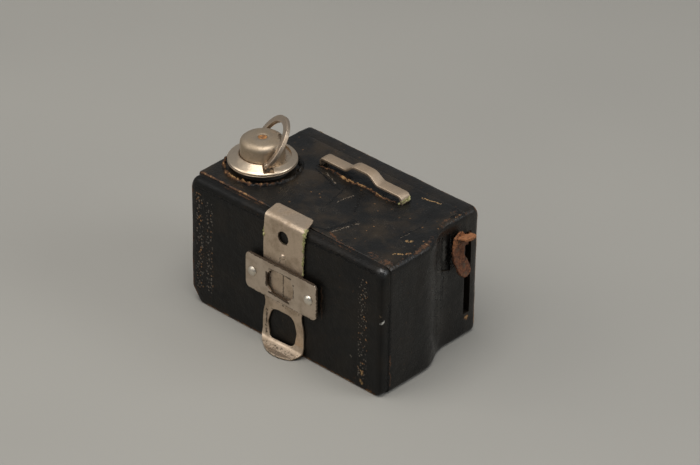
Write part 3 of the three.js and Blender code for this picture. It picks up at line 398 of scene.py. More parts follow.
class Surface:
    """A Principled material and short names for the nodes that shape it. Lengths are in millimetres."""

    def __init__(self, name, roughness=0.5, metallic=0.0):
        self.material = bpy.data.materials.new(name)
        self.material.use_nodes = True
        self.tree = self.material.node_tree
        self.shader = self.tree.nodes["Principled BSDF"]
        self.shader.inputs["Roughness"].default_value = roughness
        self.shader.inputs["Metallic"].default_value = metallic
        self.place = self.node("TexCoord", {}).outputs["Object"]

    def node(self, kind, inputs, **values):
        """A new shader node of a kind, with its own settings and what goes into its sockets."""
        made = self.tree.nodes.new("ShaderNode" + kind)
        for key, value in values.items():
            setattr(made, key, value)
        for key, value in inputs.items():
            self.link(value, made.inputs[key])
        return made

    def link(self, value, socket):
        if isinstance(value, bpy.types.NodeSocket):
            self.tree.links.new(value, socket)
        elif isinstance(value, tuple) and len(value) == 3 and len(socket.default_value) == 4:
            socket.default_value = (*value, 1)
        else:
            socket.default_value = value

    def set(self, name, value):
        self.link(value, self.shader.inputs[name])

    def math(self, kind, a, b, clamp=False):
        return self.node("Math", {0: a, 1: b}, operation=kind, use_clamp=clamp).outputs[0]

    def vector(self, kind, a, b, result="Vector"):
        return self.node("VectorMath", {0: a, 1: b}, operation=kind).outputs[result]

    def noise(self, size, detail=3.0, rough=0.55, stretch=(1, 1, 1)):
        return self.node("TexNoise", {
            "Vector": self.vector("MULTIPLY", self.place, stretch), "Scale": 1 / (size * MM),
            "Detail": detail, "Roughness": rough,
        }).outputs["Fac"]

    def cells(self, size):
        inputs = {"Vector": self.place, "Scale": 1 / (size * MM)}
        return self.node("TexVoronoi", inputs).outputs["Distance"]

    def attribute(self, name):
        return self.node("Attribute", {}, attribute_name=name).outputs["Fac"]

    def ramp(self, value, low, high, start=0.0, end=1.0):
        return self.node("MapRange", {
            "Value": value, "From Min": low, "From Max": high, "To Min": start, "To Max": end,
        }, interpolation_type="SMOOTHSTEP").outputs["Result"]

    def mix(self, share, a, b):
        inputs = {"Factor": share, "A": a, "B": b}
        return self.node("Mix", inputs, data_type="RGBA").outputs["Result"]

    def finish(self, color, normal=None, roughness=None):
        """The material, once what is given is linked to its shader."""
        for name, value in (("Base Color", color), ("Normal", normal), ("Roughness", roughness)):
            if value is not None:
                self.set(name, value)
        return self.material

    def plus(self, a, b, clamp=False):
        return self.math("ADD", a, b, clamp)

    def both(self, a, b):
        return self.math("MULTIPLY", a, b)

    def either(self, a, b):
        return self.math("MAXIMUM", a, b)

    def warped(self, size, amount):
        """The place shifted this way and that by up to about amount, so that lines drawn by it wander."""
        inputs = {"Vector": self.place, "Scale": 1 / (size * MM)}
        color = self.node("TexNoise", inputs).outputs["Color"]
        shift = self.vector("SUBTRACT", color, (0.5, 0.5, 0.5))
        return self.vector("ADD", self.place, self.vector("MULTIPLY", shift, (2 * amount * MM,) * 3))

    def stroke(self, place, reach, a, b, width):
        """1 inside a line from a to b whose width is multiplied by reach, which may vary."""
        start = Vector(a) * MM
        along = Vector(b) * MM - start
        offset = self.vector("SUBTRACT", place, start)
        share = self.math(
            "DIVIDE", self.vector("DOT_PRODUCT", offset, along, "Value"), along.length_squared, clamp=True)
        foot = self.node("VectorMath", {0: along, "Scale": share}, operation="SCALE")
        gap = self.vector("SUBTRACT", offset, foot.outputs["Vector"])
        length = self.node("VectorMath", {0: gap}, operation="LENGTH").outputs["Value"]
        return self.ramp(self.math("DIVIDE", length, self.both(reach, width / 2 * MM)), 1.2, 0.7)

    def patch(self, low, high, edge_width):
        """1 inside a box, falling to 0 across each side within that width."""
        result = None
        split = self.node("SeparateXYZ", {0: self.place})
        half = edge_width / 2
        for axis in range(3):
            value = split.outputs[axis]
            for side, edge in ((1, low[axis]), (-1, high[axis])):
                inside = self.ramp(value, (edge - side * half) * MM, (edge + side * half) * MM)
                result = inside if result is None else self.both(result, inside)
        return result

    def bump(self, height, depth, before=None):
        """Relief of the given depth in millimetres where height goes from 0 to 1: a hollow if negative."""
        inputs = {"Distance": abs(depth) * MM, "Height": height}
        made = self.node("Bump", inputs, invert=depth < 0)
        if before is not None:
            self.link(before, made.inputs["Normal"])
        return made.outputs["Normal"]


BLACK = (0.0052, 0.0049, 0.0044)
BROWN_BLACK = (0.026, 0.018, 0.0105)
WORN_BROWN = (0.080, 0.036, 0.016)
TAN = (0.27, 0.135, 0.052)
GOLD = (0.34, 0.205, 0.085)
PALE = (0.15, 0.130, 0.105)
DEEP = (0.0022, 0.0020, 0.0018)


def leather(name, marks=(), stipple=(), tint=0.35, dust=0.2, shine=0.22, gloss=0.0, polished=False):
    """Old black leather: fine pores, brown patches as strong as tint (real wear, and on the top also painted
    sheen), brown and tan where its edges are worn through.
    marks are (color, depth, [(from, to, width), ...]) groups of lines, among them painted shadow and painted
    highlight; pale ones are broken up. stipple is a list of (low, high) boxes in which the leather is
    embossed with small dots."""
    s = Surface(name, 0.42)
    # Brown patches scaled by tint: real wear, and in the top's copy also painted sheen.
    rubbed_and_sheen = s.ramp(s.noise(13, 5, 0.62), 0.40, 0.68)
    color = s.mix(s.both(rubbed_and_sheen, tint), BLACK, BROWN_BLACK)
    scuff = s.both(s.ramp(s.noise(0.5, 6, 0.75), 0.55, 0.68), s.ramp(s.noise(8, 4, 0.6), 0.50, 0.66))
    color = s.mix(s.both(scuff, dust), color, PALE)
    fleck = s.both(s.ramp(s.cells(2.6), 0.17, 0.08), s.ramp(s.noise(4.0, 3), 0.50, 0.60))
    color = s.mix(s.both(fleck, dust), color, TAN)
    normal = s.bump(s.cells(0.75), 0.05)
    normal = s.bump(s.noise(0.42, 4, 0.6), 0.07, normal)
    normal = s.bump(s.noise(4.5, 4, 0.6), 0.24, normal)
    broken = s.noise(1.4, 6, 0.70)
    worn = s.both(s.attribute("worn"), s.ramp(s.noise(6, 3), 0.34, 0.62, 0.65, 1.15))
    brown = s.ramp(s.plus(s.both(worn, 0.50), broken), 0.82, 0.96)
    bare = s.ramp(s.plus(s.both(worn, 0.42), broken), 0.98, 1.06)
    color = s.mix(brown, color, WORN_BROWN)
    color = s.mix(bare, color, s.mix(s.ramp(s.noise(0.9, 4), 0.42, 0.60), TAN, GOLD))
    normal = s.bump(brown, -0.12, normal)
    wander = s.warped(2.2, 0.8)
    ragged = s.ramp(s.noise(0.9, 4), 0.35, 0.65, 0.5, 1.5)
    patchy = s.ramp(s.noise(0.8, 5, 0.7), 0.40, 0.54)
    lift = None
    for shade, depth, lines in marks:
        drawn = None
        for start, end, width in lines:
            line = s.stroke(wander, ragged, start, end, width)
            drawn = line if drawn is None else s.either(drawn, line)
        if sum(shade) > sum(PALE) / 2:
            drawn = s.both(drawn, patchy)
        color = s.mix(drawn, color, shade)
        raised = s.both(drawn, depth)
        lift = raised if lift is None else s.plus(lift, raised)
    for low, high in stipple:
        zone = s.patch(low, high, 0.9)
        dots = s.both(zone, s.ramp(s.cells(1.15), 0.42, 0.26))
        kept = s.both(dots, s.ramp(s.noise(1.5, 3), 0.42, 0.52))
        color = s.mix(s.both(kept, 0.85), color, PALE)
        color = s.mix(s.both(dots, s.ramp(s.noise(2.6, 3), 0.54, 0.60)), color, TAN)
        lift = s.plus(lift, s.both(dots, 0.30))
    if lift is not None:
        normal = s.bump(lift, 1.0, normal)
    rough = s.ramp(s.noise(2.6, 5, 0.65), 0.3, 0.7, 0.32 - gloss, 0.50 - gloss)
    rough = s.plus(rough, s.both(brown, 0.28), clamp=True)
    s.set("Specular IOR Level", shine)
    if polished:
        polish = s.attribute("polish")
        rough = s.math("SUBTRACT", rough, s.both(polish, 0.25), clamp=True)
        s.set("Specular IOR Level", s.plus(s.both(polish, 0.8), shine))
    return s.finish(color, normal, rough)


# Brown soiling, also used as painted shade where a piece paints it.
GRIME_AND_SHADE = (0.050, 0.030, 0.015)
VERDIGRIS = (0.44, 0.42, 0.19)


def metal(name, color, stain, rough=0.36, stained=0.5, green=False, hair=0.012):
    """Dull plated metal: stains, fine scratches, and, where painted, brown soiling and painted shade, and
    green deposits.
    """
    s = Surface(name, rough, 1.0)
    cloud = s.ramp(s.noise(6.5, 5, 0.62), 0.38, 0.70)
    speckle = s.ramp(s.noise(0.7, 5, 0.7), 0.50, 0.70)
    dull = s.plus(s.both(cloud, stained), s.both(speckle, stained * 0.6), clamp=True)
    shade = s.mix(dull, color, stain)
    normal = s.bump(s.noise(0.35, 2, 0.5, (1, 1, 0.06)), hair)
    normal = s.bump(s.noise(1.1, 4, 0.6), 0.02, normal)
    normal = s.bump(s.noise(3.2, 4), 0.10, normal)
    # Brown soiling, and painted shade where a piece paints it.
    dirt_and_shade = s.ramp(s.plus(s.both(s.attribute("grime_and_shade"), 0.6), s.noise(0.9, 5, 0.65)), 0.76, 0.98)
    shade = s.mix(dirt_and_shade, shade, GRIME_AND_SHADE)
    metallic = s.math("SUBTRACT", 1.0, s.both(dirt_and_shade, 0.85))
    roughness = s.plus(s.ramp(cloud, 0, 1, rough, rough + 0.14), s.both(dirt_and_shade, 0.3))
    if green:
        bloom = s.ramp(s.plus(s.both(s.attribute("green"), 0.62), s.noise(0.6, 5, 0.75)), 0.90, 1.02)
        shade = s.mix(bloom, shade, VERDIGRIS)
        metallic = s.both(metallic, s.math("SUBTRACT", 1.0, bloom))
        roughness = s.plus(roughness, s.both(bloom, 0.4), clamp=True)
        normal = s.bump(bloom, 0.12, normal)
    s.set("Metallic", metallic)
    return s.finish(shade, normal, roughness)


def deposit(name):
    """Pale green and yellow crust of corroded metal."""
    s = Surface(name, 0.9)
    mottle = s.noise(0.5, 5, 0.7)
    shade = s.mix(s.ramp(mottle, 0.38, 0.60), (0.20, 0.19, 0.07), VERDIGRIS)
    shade = s.mix(s.ramp(s.noise(1.1, 3), 0.54, 0.64), shade, (0.55, 0.47, 0.26))
    return s.finish(shade, s.bump(mottle, 0.25))


def rusted(name, dark=(0.050, 0.018, 0.009), rust=(0.145, 0.052, 0.022), bright=(0.30, 0.115, 0.042)):
    s = Surface(name, 0.88)
    coarse = s.noise(1.5, 6, 0.72)
    shade = s.mix(s.ramp(coarse, 0.38, 0.60), dark, rust)
    shade = s.mix(s.ramp(s.noise(0.55, 5, 0.72), 0.53, 0.66), shade, bright)
    shade = s.mix(s.ramp(s.noise(2.4, 5, 0.6), 0.50, 0.66, 0.0, 0.8), shade, (0.085, 0.060, 0.038))
    bare = s.ramp(s.plus(s.both(s.attribute("bare"), 0.5), s.noise(0.8, 4)), 0.78, 0.95)
    shade = s.mix(s.both(bare, 0.8), shade, (0.36, 0.145, 0.055))
    return s.finish(shade, s.bump(s.noise(0.45, 4), 0.12, s.bump(coarse, 0.35)))


def timber(name, dark, light):
    s = Surface(name, 0.66)
    grain = s.noise(1.4, 5, 0.6, (1, 0.12, 1))
    color = s.mix(s.ramp(grain, 0.35, 0.65), dark, light)
    return s.finish(color, s.bump(grain, 0.08), s.ramp(grain, 0.3, 0.7, 0.55, 0.75))


def matt(name, dark, light, rough=0.8, size=1.2, depth=0.05):
    s = Surface(name, rough)
    mottle = s.noise(size, 5, 0.62)
    color = s.mix(s.ramp(mottle, 0.35, 0.65), dark, light)
    rough = s.ramp(mottle, 0.3, 0.7, rough - 0.08, min(rough + 0.08, 1))
    return s.finish(color, s.bump(mottle, depth), rough)


def glass(name, color):
    rough = 0.03
    s = Surface(name, rough)
    dust = s.ramp(s.noise(1.5, 5, 0.6), 0.45, 0.8, 0.0, 0.12)
    s.set("Transmission Weight", 1.0)
    s.set("IOR", 1.5)
    return s.finish(s.mix(dust, color, (0.5, 0.5, 0.47)), roughness=s.plus(dust, rough))


# -------- the box, its front and its lid

BODY = span("body_shell")
PANEL = span("front_panel")
LID = span("back_lid")
TOP = BODY[1].z
HALF_WIDTH = BODY[1].x
LENS_HALF = PANEL[1].x
WALL = 4.0
SHOULDER_FROM = 23.0
SHOULDER_LEAD = 9.0
STEP = 1.1
FOOT_ROUND = 2.0
RIGHT_ROUND = 2.8
LEFT_ROUND = 0.9
SHAFT_HOLE = 2.8
LENS_OPENING = 6.0
SCREW_HOLE = 1.45
SLOT_DEPTH = 3.3
SLOT_LOW = 10.4
SLOT_HIGH = 47.0
TORN_DEPTH = 0.45
FRONT_DROP = 0.5
DISC = span("key_disc")
KEY = centre_of("key_disc")
BRIDGE = span("strap_bridge")


def shoulder(y):
    """Half width of the box at a given depth: it curves in from the lid's width to the lens end's."""
    start = LID[0].y + SHOULDER_FROM
    end = BODY[1].y - SHOULDER_LEAD
    t = np.linspace(0, 1, 41)
    along = start + (end - start) * (1.5 * t * (1 - t) + t ** 3)
    return float(np.interp(y, along, HALF_WIDTH - (HALF_WIDTH - LENS_HALF) * (3 * t * t - 2 * t ** 3)))


def end_outline(half):
    """The box seen along Y, with the rounding of its foot and of the top's right and left edges."""
    foot = [(-half, 0, FOOT_ROUND), (half, 0, FOOT_ROUND)]
    return rounded_outline([*foot, (half, TOP, RIGHT_ROUND), (-half, TOP, LEFT_ROUND)], STEP)


def torn_patch():
    """Where the leather is gone beside the lever: a ragged outline in Y and Z."""
    corners = [(8.3, 36.6, 0.3), (14.0, 34.2, 0.3), (14.2, 42.0, 1.0), (13.6, 51.0, 0.6),
               (9.8, 51.0, 0.8), (8.3, 48.0, 1.0)]
    outline = rounded_outline(corners, 0.7)
    return [(p.x + 0.25 * lump(p.x, p.y, 3, 0.9), p.y) for p in outline]


def off_the_floor(p):
    """0 at the foot, so that lumps leave the base flat, and 1 from a little above it."""
    return min(1, max(0, (p.z - 1) / 4))


def wavy(skin):
    """Slow waves and small lumps, which fade out at the seam so that the box and its front meet flush."""
    def keep(p):
        return off_the_floor(p) * min(1, abs(p.y - PANEL[0].y) / 1.5)

    relief(skin, 0.26, 14, 1.7, keep)
    relief(skin, 0.10, 3.5, 5.2, keep)


def body_leather():
    stations = rounded_run(BODY[0].y, BODY[1].y, 0.5, 0.12, STEP)
    skin = block("body_leather", end_outline(HALF_WIDTH), stations, lambda y: shoulder(y) / HALF_WIDTH, 8)
    wavy(skin)
    ys = np.linspace(BODY[0].y - 1, BODY[1].y + 1, 26)
    room = [[(shoulder(y) - WALL) * s for s in (-1, 1, 1, -1)] for y in ys]
    heights = (WALL, WALL, TOP - WALL, TOP - WALL)
    cavity = loft("cutter", [[(x, y, z) for x, z in zip(xs, heights)] for y, xs in zip(ys, room)])
    key_hole = round_cutter(SHAFT_HOLE, KEY.x, KEY.y, TOP - WALL - 1, TOP + 2, "Z")
    patch = prism(torn_patch(), LENS_HALF - TORN_DEPTH, HALF_WIDTH, "X")
    carve(skin, cavity, key_hole, patch)
    for x in (BRIDGE[0].x - 0.2, BRIDGE[1].x - 1.4):
        slit = box_cutter((x, BRIDGE[0].y - 0.3, TOP - 2.2), (x + 1.6, BRIDGE[1].y + 0.3, TOP + 2))
        carve(skin, slit)
    wear(skin, [
        ((50, -26, 56), (49.8, -14, 56), 3.0, 1.0),
        ((49.8, -14, 56), (48.2, -4, 56), 2.4, 1.15),
        ((48, -4, 56), (44, 12, 56), 3.2, 0.75),
        ((44, 10, 56), (44, 23, 56), 3.2, 0.9),
        ((40.2, 20.8, 56), (40.4, 20.2, 56), 2.0, 1.1),
        ((42.0, 14.8, 56), (42.2, 11.2, 56), 2.0, 1.0),
        ((-50, -26, 56), (-14, -26, 56), 1.4, 1.2),
        ((12, -26, 56), (50, -26, 56), 1.3, 0.8),
        ((47, -24, 56), (38, -24, 56), 4.0, 0.95),
        ((50, -26, 53.5), (50, -24, 50), 2.0, 0.95),
        ((50, -20, 0), (44, 22, 0), 2.0, 0.6),
        ((44.6, 7, 40), (44.6, 7, 50), 2.0, 0.6),
        ((44.2, 19.2, 47.5), (44.2, 19.8, 47.9), 2.0, 1.0),
    ])
    return skin


# Pale scratches, and the painted highlight along the lifted flap.
PALE_SCRATCH_AND_HIGHLIGHT = (0.17, 0.135, 0.10)


def marks_on(place, groups):
    """Marks for leather(), each point given by the numbers that place() takes."""
    return [(shade, depth, [(place(*a), place(*b), width) for a, b, width in lines])
            for shade, depth, lines in groups]


TOP_MARKS = marks_on(lambda x, y, z=TOP: (x, y, z), [
    # A wide black band on the top under the strap bridge: painted shadow.
    (DEEP, -0.1, [((-18.5, 11.9), (21.5, 11.9), 5.0)]),
    (DEEP, -0.4, [
        # The second of these lines runs beside the lifted flap: a groove, painted black as the flap's
        # shadow.
        ((8.6, -25.0), (16.2, -22.8), 0.8), ((15.2, -22.6), (18.2, -11.2), 2.0),
        ((37.6, -7.6), (38.8, 2.4), 0.75), ((38.8, 2.4), (34.9, 13.2), 0.45),
        ((39.0, 21.4), (44.5, 19.9, 55.6), 1.9), ((42.0, 17.0), (43.4, 22.0, 55.6), 1.6),
        ((-19.0, 6.4), (-2.0, 1.4), 0.8), ((-1.0, 4.0), (2.4, -10.2), 0.7),
        ((8.4, 2.0), (13.5, -6.6), 0.7)]),
    (PALE_SCRATCH_AND_HIGHLIGHT, 0.4, [
        # The first of these lines runs along the lifted flap: pale torn leather, painted lighter as the
        # flap's lit edge.
        ((16.9, -22.4), (19.9, -11.4), 1.3), ((38.2, -7.9), (38.7, -3.6), 0.5),
        ((-14.0, 7.0), (-6.0, 3.8), 0.7), ((4.8, 1.5), (3.4, -5.4), 0.8)]),
    (WORN_BROWN, 0.1, [((16.8, -23.4), (22.0, -25.4), 0.8)]),
    (GOLD, 0.15, [
        ((24.9, 18.9), (32.8, 20.6), 0.7), ((41.8, -8.0), (42.8, -7.0), 1.3),
        ((44.2, -18.0), (46.6, -15.6), 0.8)]),
    (TAN, 0.1, [((47.4, -14.6), (48.4, -13.2), 1.2), ((43.0, 18.0), (43.2, 20.6), 1.2)]),
])
SIDE_MARKS = [
    (DEEP, -0.4, [
        ((50, -25.8, 1), (50, -25.9, 40), 1.0), ((43.5, 8.6, 36), (43.6, 8.8, 50), 2.0),
        ((43.5, 13.0, 35), (43.6, 12.8, 50), 2.2), ((44.5, 8.9, 34.6), (44.4, 9.4, 20), 1.5)]),
    # A raised bump in the bare patch beside the lever, painted lighter as its highlight.
    ((0.045, 0.042, 0.037), 0.2, [((43.6, 10.7, 41), (43.6, 10.8, 48), 2.0)]),
    (WORN_BROWN, 0.1, [((50, -25.2, 3), (50, -25.4, 17), 0.6)]),
    (GOLD, 0.15, [((48.6, -6.2, 55.6), (49.5, -6.6, 55.0), 1.1)]),
]


def front_leather():
    stations = rounded_run(PANEL[0].y, PANEL[1].y, 0.12, 2.6, STEP)
    skin = block("front_leather", end_outline(LENS_HALF), stations, insets=(1.0, 1.0, 1.5))
    wavy(skin)
    for vertex in skin.data.vertices:
        at = vertex.co / MM
        past = max(0, (at.y - PANEL[0].y) / (PANEL[1].y - PANEL[0].y))
        vertex.co.z -= FRONT_DROP * past ** 2 * max(0, at.z / TOP) ** 3 * MM
    hollow = box_cutter(
        (-LENS_HALF + WALL, PANEL[0].y - 1, WALL), (LENS_HALF - WALL, PANEL[1].y - 3, TOP - WALL))
    opening = round_cutter(LENS_OPENING, 0, centre_of("lens_bezel").z, PANEL[1].y - 5, PANEL[1].y + 2, "Y")
    slot = box_cutter(
        (LENS_HALF - WALL - 1, PANEL[0].y - 1, SLOT_LOW),
        (LENS_HALF + 1, PANEL[0].y + SLOT_DEPTH, SLOT_HIGH))
    carve(skin, hollow, opening, slot)
    for number in (1, 2, 3, 4):
        middle = centre_of(f"front_screw_{number}")
        carve(skin, round_cutter(SCREW_HOLE, middle.x, middle.z, PANEL[1].y - 1, PANEL[1].y + 1, "Y", 24))
    wear(skin, [
        ((44, 22, 56), (44, 31, 56), 3.0, 1.1),
        ((-44, 29.4, 54.6), (44, 29.4, 54.6), 2.4, 1.6),
        ((43.3, 29.8, 2), (43.3, 29.8, 54), 1.7, 2.1),
        ((-43.3, 29.8, 2), (-43.3, 29.8, 54), 1.7, 1.0),
        ((44, 24.4, 8.5), (44, 24.9, 8.0), 1.5, 2.4),
        ((-43, 29.8, 1.5), (43, 29.8, 1.5), 1.8, 0.9),
    ])
    return skin


LID_ROUND = 2.2
LID_CUT = (4.4, 6.0)
LID_LEFT_DROP = 0.4


def lid_leather():
    corners = [(-HALF_WIDTH + LID_CUT[0], 0, 2.0), (HALF_WIDTH, 0, 3.0), (HALF_WIDTH, TOP, 3.0),
               (-HALF_WIDTH, TOP - LID_LEFT_DROP, 3.0), (-HALF_WIDTH, LID_CUT[1], 2.0)]
    outline = rounded_outline(corners, STEP)
    stations = rounded_run(LID[0].y, LID[1].y, LID_ROUND, 0.4, 0.6)
    skin = block("lid_leather", outline, stations, insets=(0.32, 0.32, 1.4))
    relief(skin, 0.22, 16, 8.1, off_the_floor)
    radius = span("ruby_window")[1].x
    z = centre_of("ruby_window").z
    carve(skin,
          round_cutter(radius - 1, 0, z, LID[0].y - 2, LID[1].y + 2, "Y"),
          round_cutter(radius + 0.15, 0, z, LID[1].y - 2, LID[1].y + 2, "Y"))
    wear(skin, [
        ((-45.0, -30.5, 0.4), (50, -30.5, 0.4), 1.0, 1.6),
        ((-49.4, -30.5, 6.2), (-45.1, -30.5, 0.5), 1.0, 1.2),
        ((-49.6, -30.5, 6), (-49.6, -30.5, 54), 0.8, 1.3),
        ((-48, -27.5, 55.6), (-12, -27.5, 56), 1.5, 0.8),
        ((12, -28, 56), (48, -28, 56), 1.5, 0.7),
        ((50, -30, 2), (50, -30, 54), 1.2, 0.5),
        ((46, -30, 2), (36, -30.5, 4), 4.0, 0.6),
    ])
    paint(skin, "polish", lambda p: near_line(p, (48.6, -29.6, 55.6), (49.4, -29.4, 55.0), 2.4))
    return skin


FACE = LID[0].y
LID_MARKS = marks_on(lambda x, z, y=FACE: (x, y, z), [
    (DEEP, -0.45, [
        ((-47.0, 51.6), (-11.0, 52.9), 0.9), ((12.0, 53.2), (46.0, 53.6), 0.9),
        ((50, 1, -26.6), (50, 40, -26.7), 1.1)]),
    ((0.035, 0.02, 0.012), 0.1, [((19.2, 36.0), (19.4, 22.0), 0.8)]),
    # A small painted highlight: a glint on the lid's right edge.
    ((0.55, 0.53, 0.48), 0.4, [((49.4, 33.4, -30.0), (49.9, 34.0, -29.4), 1.0)]),
    ((0.20, 0.14, 0.08), 0.3, [((49.0, 36.4, -30.3), (49.8, 35.6, -29.6), 0.8)]),
    (PALE, 0.2, [((34.6, 12.4), (35.2, 12.0), 0.7)]),
    (GOLD, 0.2, [((39.8, 8.0), (40.6, 7.0), 1.5), ((39.8, 3.6), (40.8, 2.8), 1.3)]),
])
LID_STIPPLE = [
    ((-47.2, FACE - 1, 7.0), (-43.4, FACE + 1, 49.5)),
    ((-41.9, FACE - 1, 7.0), (-38.4, FACE + 1, 48.5)),
    ((38.4, FACE - 1, 5.0), (42.8, FACE + 1, 49.5)),
]

# -------- sheet metal


def flat_plate(outline, holes, thickness, bevel):
    """A flat plate in X and Y with rounded edges, as a mesh in millimetres about its middle plane."""
    curve = bpy.data.curves.new("plate", "CURVE")
    curve.dimensions = "2D"
    curve.fill_mode = "BOTH"
    curve.extrude = thickness / 2 - bevel
    curve.bevel_depth = bevel
    curve.bevel_resolution = 2
    curve.offset = -bevel
    for points in [outline, *holes]:
        spline = curve.splines.new("POLY")
        spline.points.add(len(points) - 1)
        for point, (a, b) in zip(spline.points, points):
            point.co = (a, b, 0, 1)
        spline.use_cyclic_u = True
    holder = placed("plate", curve)
    mesh = bpy.data.meshes.new_from_object(holder)
    bpy.data.objects.remove(holder)
    made = bmesh.new()
    made.from_mesh(mesh)
    bmesh.ops.remove_doubles(made, verts=made.verts, dist=1e-4)
    bpy.data.meshes.remove(mesh)
    return made


def slice_up(made, axis, low, high, step):
    """Cuts a mesh across one axis every step millimetres, so that it can bend."""
    normal = Vector((0, 0, 0))
    normal[axis] = 1
    count = round((high - low) / step)
    for k in range(1, count):
        at = normal * (low + (high - low) * k / count)
        parts = [*made.verts, *made.edges, *made.faces]
        bmesh.ops.bisect_plane(made, geom=parts, dist=1e-5, plane_co=at, plane_no=normal)


class Track:
    """A bent line in a plane, followed by its length."""

    def __init__(self, line):
        self.points = np.array([tuple(p) for p in line])
        steps = np.linalg.norm(np.diff(self.points, axis=0), axis=1)
        self.length = np.concatenate([[0], np.cumsum(steps)])
        tangent = np.gradient(self.points, self.length, axis=0)
        self.tangent = tangent / np.linalg.norm(tangent, axis=1)[:, None]

    def at(self, along, off):
        place = [np.interp(along, self.length, self.points[:, k]) for k in (0, 1)]
        way = [np.interp(along, self.length, self.tangent[:, k]) for k in (0, 1)]
        size = math.hypot(*way)
        return place[0] - off * way[1] / size, place[1] + off * way[0] / size

    def reach(self, height):
        """Length at which the line last passes a height, from its start."""
        rising = [i for i in range(1, len(self.points))
                  if self.points[i - 1][1] <= height <= self.points[i][1]]
        i = rising[-1]
        low, high = self.points[i - 1][1], self.points[i][1]
        share = (height - low) / max(high - low, 1e-9)
        return self.length[i - 1] + share * (self.length[i] - self.length[i - 1])


def sheet(name, outline, holes, thickness, bevel, cuts, place):
    """A flat plate cut across by (axis, low, high, step), then bent: place(co) is where each vertex goes."""
    made = flat_plate(outline, holes, thickness, bevel)
    for cut in cuts:
        slice_up(made, *cut)
    for vertex in made.verts:
        vertex.co = Vector(place(vertex.co)) * MM
    bmesh.ops.recalc_face_normals(made, faces=made.faces)
    mesh = bpy.data.meshes.new(name)
    made.to_mesh(mesh)
    made.free()
    return placed(name, mesh)


STRIP_THICKNESS = 0.7
STRIP_X = 0.25
STRIP_HALF = 10.6
NECK_HALF = 9.5
RING_HALF = 10.7
HOLE_HEIGHT = 49.6
HOLE_RADIUS = 2.55


def latch_strip_plate():
    low, high = span("latch_strip")
    middle = LID[0].y - 0.2 - STRIP_THICKNESS / 2
    top = high.z - 0.9 - STRIP_THICKNESS / 2
    corners = [(low.y + 0.1, 0.75), (middle - 4.2, 0.62), (middle - 1.0, 1.9), (middle, 4.6),
               (middle, top), (high.y, high.z - STRIP_THICKNESS / 2)]
    track = Track(soften(corners, (2.0, 2.5, 2.2, 1.9), 8))
    at = track.reach
    end = track.length[-1]
    face = track.reach(4.6)
    lip_curve = [(-RING_HALF, 6.6), (-9.6, 5.0), (-7.9, 3.6), (-5.6, 2.05), (-3.7, 1.0), (-1.6, 0.3),
                 (0.8, 0.0), (3.4, 0.25), (5.9, 0.95), (8.2, 2.3), (9.4, 4.0), (RING_HALF, 6.6)]
    lip = [tuple(q) for q in soften(lip_curve, [0.8] * 10, 2)]
    left = [(-NECK_HALF, at(18.2)), (-NECK_HALF - 0.1, at(16.2)), (-RING_HALF + 0.3, at(13.4)),
            (-RING_HALF, at(10.5)), (-RING_HALF - 0.2, face)]
    right = [(RING_HALF, face), (RING_HALF, at(10.5)), (RING_HALF - 0.3, at(13.4)),
             (NECK_HALF + 0.1, at(16.2)), (NECK_HALF, at(18.2))]
    hook = [(STRIP_HALF - 0.5, at(22)), (STRIP_HALF - 0.6, at(38)), (STRIP_HALF - 0.2, at(50)),
            (STRIP_HALF, at(54.5)), (STRIP_HALF - 0.4, end - 5.6), (STRIP_HALF - 1.6, end - 1.6),
            (STRIP_HALF - 2.5, end - 0.1), (STRIP_HALF - 3.2, end), (-STRIP_HALF + 1.0, end),
            (-STRIP_HALF + 0.1, end - 0.8), (-STRIP_HALF + 0.6, at(55.4)), (-STRIP_HALF + 0.2, at(51)),
            (-STRIP_HALF, at(44)), (-STRIP_HALF, at(22))]
    outline = lip + right + hook + left
    hole = [(HOLE_RADIUS * cos(a) - 0.2, at(HOLE_HEIGHT) + HOLE_RADIUS * 1.04 * sin(a))
            for a in np.linspace(0, 2 * pi, 33)[:-1]]
    arch = [(-6.9, -0.9, 2.0), (5.6, -0.6, 2.8), (7.1, 6.5, 3.0), (5.4, 12.9, 4.0), (-5.9, 12.6, 4.0),
            (-8.1, 5.5, 3.0)]
    finger = [(p.x, at(3.6) + p.y) for p in rounded_outline(arch, 1.0)]
    cuts = [(1, 0, end, 0.8), (0, -RING_HALF, RING_HALF, 0.45)]

    def place(co):
        y, z = track.at(co.y, co.z)
        sway = 0.12 * lump(co.x * 0.10, co.y * 0.12, 4.0)
        return STRIP_X + co.x, y + sway, z

    return sheet("latch_strip_plate", outline, [hole, finger], STRIP_THICKNESS, 0.16, cuts, place)


PLATE_LIFT = 0.4
GUIDE = span("latch_guide_plate")
GUIDE_MIDDLE = centre_of("latch_guide_plate")


def guide_plate():
    low, high = GUIDE
    middle = GUIDE_MIDDLE
    corners = rect((low.x, low.z), (high.x, high.z), 2.6)
    outline = [(p.x + 0.3, p.y) for p in rounded_outline(corners, 1.2)]
    wide, tall = 6.85, 5.4
    corners = rect((-wide, -tall), (wide, tall), 4.4)
    window = [(p.x - 0.25, middle.z - 0.3 + p.y) for p in rounded_outline(corners, 0.8)]
    cuts = [(0, low.x, high.x, 0.55), (1, low.z, high.z, 0.55)]

    def place(co):
        sway = 0.10 * lump(co.x * 0.13, co.y * 0.16, 7.0)
        return co.x, middle.y - PLATE_LIFT - co.z + sway, co.y

    return sheet("guide_plate", outline, [window], high.y - low.y, 0.2, cuts, place)


